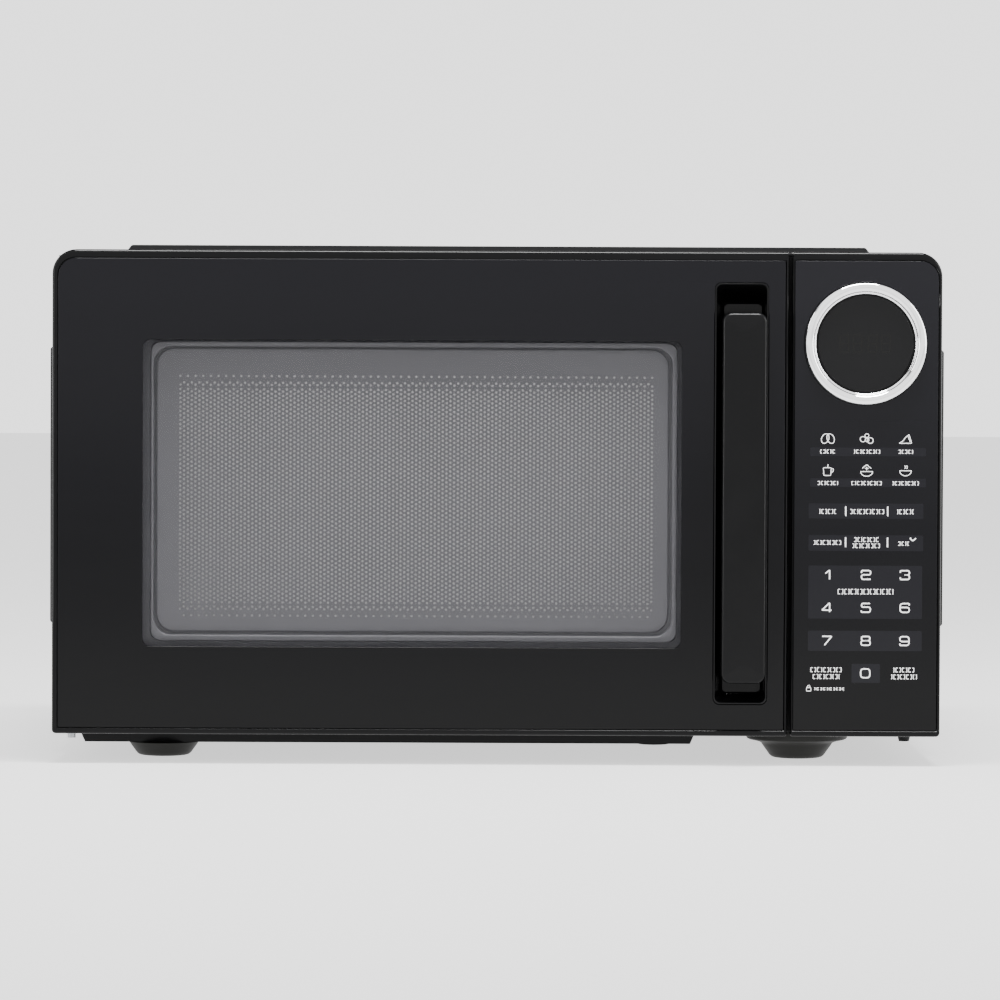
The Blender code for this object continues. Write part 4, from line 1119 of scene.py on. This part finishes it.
def fold(center_x, start):
    """The rounded fold between a side and the roof, a quarter turn back from the start angle."""
    points = []
    for step in range(1, BEND_STEPS):
        angle = math.radians(start - 90 * step / BEND_STEPS)
        out_x, out_z = math.cos(angle), math.sin(angle)
        x = center_x + BEND_RADIUS * out_x
        points.append((x, ROOF_Z - BEND_RADIUS + BEND_RADIUS * out_z, out_x, out_z))
    return points


def cover_section():
    """The cover's cross-section as (x, z, outward x, outward z), from the left foot over to the right."""
    flat = COVER_HALF - BEND_RADIUS
    heights = lines(COVER_BOTTOM, ROOF_Z - BEND_RADIUS, ((SIDE_Z[0], 1), (SIDE_Z[1], -1)), 12.0)
    section = [(-COVER_HALF, z, -1.0, 0.0) for z in heights]
    section += fold(-flat, 180)
    for x in lines(-flat, flat, ((ROOF_X[0], 1), (ROOF_X[1], -1)), 16.0):
        section.append((x, ROOF_Z, 0.0, 1.0))
    section += fold(flat, 90)
    return section + [(COVER_HALF, z, 1.0, 0.0) for z in reversed(heights)]


def emboss(x, y, z, out_z):
    """How far the sheet is raised at a place on the roof or a side."""
    reach = min(y - EMBOSS_Y[0], EMBOSS_Y[1] - y)
    if out_z == 1.0:
        lift = (COVER_TOP - ROOF_Z) * eased(min(x - ROOF_X[0], ROOF_X[1] - x) / EMBOSS_SLOPE)
        return lift * eased(reach / EMBOSS_RAMP)
    if out_z == 0.0:
        lift = (COVER_RIGHT - COVER_HALF) * eased(min(z - SIDE_Z[0], SIDE_Z[1] - z) / EMBOSS_SLOPE)
        return lift * eased(reach / EMBOSS_SLOPE)
    return 0.0


def vent_cutter():
    """A bar for each vent slot, long enough to pass through its side."""
    form = bmesh.new()
    for side, first in VENT_STARTS:
        for index in range(VENT_COUNT):
            at = first + VENT_PITCH * index
            outline = rounded(at, at + VENT_WIDE, *VENT_Z, 1.45, 5)
            ends = []
            for x in (side * 205.0, side * 235.0):
                ends.append([form.verts.new(Vector((x, y, z)) * MM) for y, z in outline])
            for corner in range(len(outline)):
                after = (corner + 1) % len(outline)
                form.faces.new((ends[0][corner], ends[0][after], ends[1][after], ends[1][corner]))
            form.faces.new(ends[0])
            form.faces.new(ends[1])
    return new_object("slots", mesh_from(form, "slots"))


def cabinet_cover():
    """The folded sheet: a grid of its cross-section along the depth, thickened inwards and slotted."""
    form = bmesh.new()
    rows = []
    section = cover_section()
    marks = ((EMBOSS_Y[0], 1), (EMBOSS_Y[1], -1))
    depths = set(lines(COVER_FRONT, COVER_BACK, marks, 16.0))
    depths.update(lines(COVER_FRONT, COVER_BACK, marks, 16.0, EMBOSS_RAMP))
    for y in sorted(depths):
        row = []
        for x, z, out_x, out_z in section:
            lift = emboss(x, y, z, out_z)
            row.append(form.verts.new(Vector((x + out_x * lift, y, z + out_z * lift)) * MM))
        rows.append(row)
    for row, following in zip(rows, rows[1:]):
        for index in range(len(row) - 1):
            form.faces.new((row[index], following[index], following[index + 1], row[index + 1]))
    bmesh.ops.recalc_face_normals(form, faces=form.faces)
    upward = [face for face in form.faces if abs(face.normal.z) > 0.99]
    if upward and upward[0].normal.z < 0:
        bmesh.ops.reverse_faces(form, faces=form.faces)
    mesh = bpy.data.meshes.new("cover_sheet")
    form.to_mesh(mesh)
    form.free()
    cover = new_object("cover_sheet", mesh)
    sheet = cover.modifiers.new("sheet", "SOLIDIFY")
    sheet.thickness = SHEET * MM
    sheet.offset = -1.0
    apply_modifiers(cover)
    cut(cover, vent_cutter())
    settle(cover, "oven", "cabinet_paint", ["cabinet_cover"], 50)


def feet():
    """Turned rubber feet. The two on the right have a broad collar under the base."""
    places = ((end, side) for end in ("front", "rear") for side in ("left", "right"))
    for end, side in places:
        node = f"foot_{end}_{side}"
        left, right, front, back, _, top = edges(node)
        profile = [(0.0, top)]
        if side == "right":
            profile += [(25.2, top), (25.5, top - 0.3), (25.5, 10.3), (25.2, 9.75), (24.2, 9.3), (21.0, 8.6)]
            profile += [(18.9, 8.0), (18.1, 7.5)]
        else:
            profile += [(17.5, top), (17.8, top - 0.3)]
        profile += [(17.5, 6.6), (16.4, 5.0), (15.0, 3.1), (14.2, 1.9), (13.5, 1.1), (12.7, 0.5)]
        profile += [(11.6, 0.15), (10.4, 0.0), (8.4, 0.0), (7.8, 0.8), (0.0, 0.8)]
        center = ((left + right) / 2, (front + back) / 2, 0.0)
        mesh = turned_mesh(node + "_pad", profile, center, "Z", 72)
        add_piece(node + "_pad", mesh, "oven", "foot_rubber", [node], 45)


def glass_tray():
    """The turntable tray: a flat middle, a sloping rim and a foot ring, from the axis out and back below."""
    left, right, front, back, low, _ = edges("glass_tray")
    radius = (right - left) / 2
    profile = [(0.0, 3.6), (96.0, 3.6), (100.0, 3.65), (103.5, 3.9), (106.5, 4.4), (109.5, 5.3), (118.0, 9.5)]
    profile += [(119.6, 10.2), (120.8, 10.55), (121.8, 10.5), (radius - 0.1, 10.1), (radius, 9.5)]
    profile += [(radius - 0.15, 8.5), (radius - 0.8, 7.6), (112.0, 1.7), (109.0, 0.7), (106.0, 0.2)]
    profile += [(101.0, 0.0), (90.0, 0.0), (0.0, 0.0)]
    center = ((left + right) / 2, (front + back) / 2, low)
    plate = turned_mesh("tray_plate", profile, center, "Z", 144)
    add_piece("tray_plate", plate, "tray", "tray_glass", ["glass_tray"])


# The studio: a pale floor in pale surroundings, three soft lamps outside and a small one in the cavity.
# Lamps and camera are placed in metres.

WORLD_STRENGTH = 2.2
FLOOR_GLOW = 1.12
FLOOR_HALF = 9000
CAMERA_PLACE = (0.0017, -2.862, 0.212)
CAMERA_AIM = (0.0017, -0.160, 0.1315)
CAMERA_LENS = 196.5
CAMERA_ROLL = 0.24
# Dark flags hung high round the set: (direction, inner angle, outer angle, how much light is left)
FLAGS = (
    ((0.0, 0.62, 0.78), 30.0, 44.0, 0.06),
    ((-0.86, -0.3, 0.42), 12.0, 20.0, 0.04),
)
# Each lamp: name, (width, height), place, aim, watts
LAMPS = (
    ("overhead_softbox", (0.9, 0.3), (0.1, -0.42, 1.6), (0.05, -0.16, 0.25), 75.0),
    ("left_strip", (0.22, 1.4), (-1.5, -0.55, 0.5), (0.0, -0.16, 0.15), 15.0),
    ("right_strip", (0.22, 1.4), (1.5, -0.55, 0.5), (0.0, -0.16, 0.15), 15.0),
    ("cavity_fill", (0.3, 0.17), (-0.042, -0.118, 0.134), (-0.042, 0.16, 0.134), 0.62),
)


def turned_to(place, aim):
    """The rotation that points a lamp or camera at its aim."""
    return (Vector(aim) - Vector(place)).to_track_quat("-Z", "Y")


def flagged_light(tree):
    """The surroundings' brightness by direction, dimmed inside each dark flag."""
    direction = tree.nodes.new("ShaderNodeTexCoord").outputs["Generated"]
    light = None
    for toward, inner, outer, shade in FLAGS:
        facing = tree.nodes.new("ShaderNodeVectorMath")
        facing.operation = "DOT_PRODUCT"
        facing.inputs[1].default_value = Vector(toward).normalized()
        tree.links.new(direction, facing.inputs[0])
        edge = tree.nodes.new("ShaderNodeMapRange")
        edge.interpolation_type = "SMOOTHSTEP"
        edge.inputs["From Min"].default_value = math.cos(math.radians(outer))
        edge.inputs["From Max"].default_value = math.cos(math.radians(inner))
        edge.inputs["To Min"].default_value = 1.0
        edge.inputs["To Max"].default_value = shade
        tree.links.new(facing.outputs["Value"], edge.inputs["Value"])
        if light:
            both = tree.nodes.new("ShaderNodeMath")
            both.operation = "MULTIPLY"
            tree.links.new(light, both.inputs[0])
            tree.links.new(edge.outputs["Result"], both.inputs[1])
            light = both.outputs["Value"]
        else:
            light = edge.outputs["Result"]
    return light


def studio():
    world = bpy.data.worlds.new("studio")
    bpy.context.scene.world = world
    world.use_nodes = True
    tree = world.node_tree
    background = tree.nodes["Background"]
    background.inputs["Strength"].default_value = WORLD_STRENGTH
    tree.links.new(flagged_light(tree), background.inputs["Color"])
    glow = {"Emission Color": (1.0, 1.0, 1.0, 1.0), "Emission Strength": FLOOR_GLOW}
    ground = Nodes("floor_white", Roughness=0.9, Specular_IOR_Level=0.0, **glow)
    ground.color(ground.blend(ground.noise(2.0), (0.34, 0.34, 0.34), (0.35, 0.35, 0.35)))
    extent = (-FLOOR_HALF, FLOOR_HALF)
    floor = new_object("floor", block_mesh("floor", extent, extent, (-20, -0.05)))
    floor.data.materials.append(ground.material)
    for name, size, place, aim, power in LAMPS:
        data = bpy.data.lights.new(name, "AREA")
        data.shape = "RECTANGLE"
        data.size = size[0]
        data.size_y = size[1]
        data.energy = power
        lamp = new_object(name, data)
        lamp.location = place
        lamp.rotation_euler = turned_to(place, aim).to_euler()


def camera():
    data = bpy.data.cameras.new("camera")
    data.lens = CAMERA_LENS
    holder = new_object("camera", data)
    holder.location = CAMERA_PLACE
    facing = turned_to(CAMERA_PLACE, CAMERA_AIM).to_matrix().to_4x4()
    holder.rotation_euler = (facing @ Matrix.Rotation(math.radians(CAMERA_ROLL), 4, "Z")).to_euler()
    bpy.context.scene.camera = holder


finish_cad_nodes()
door_bezel()
door_backing()
handle_pocket()
door_glass()
handle()
door_screen()
inner_film()
control_panel()
display()
legends()
cabinet_cover()
feet()
glass_tray()
studio()
camera()

bpy.context.view_layer.update()
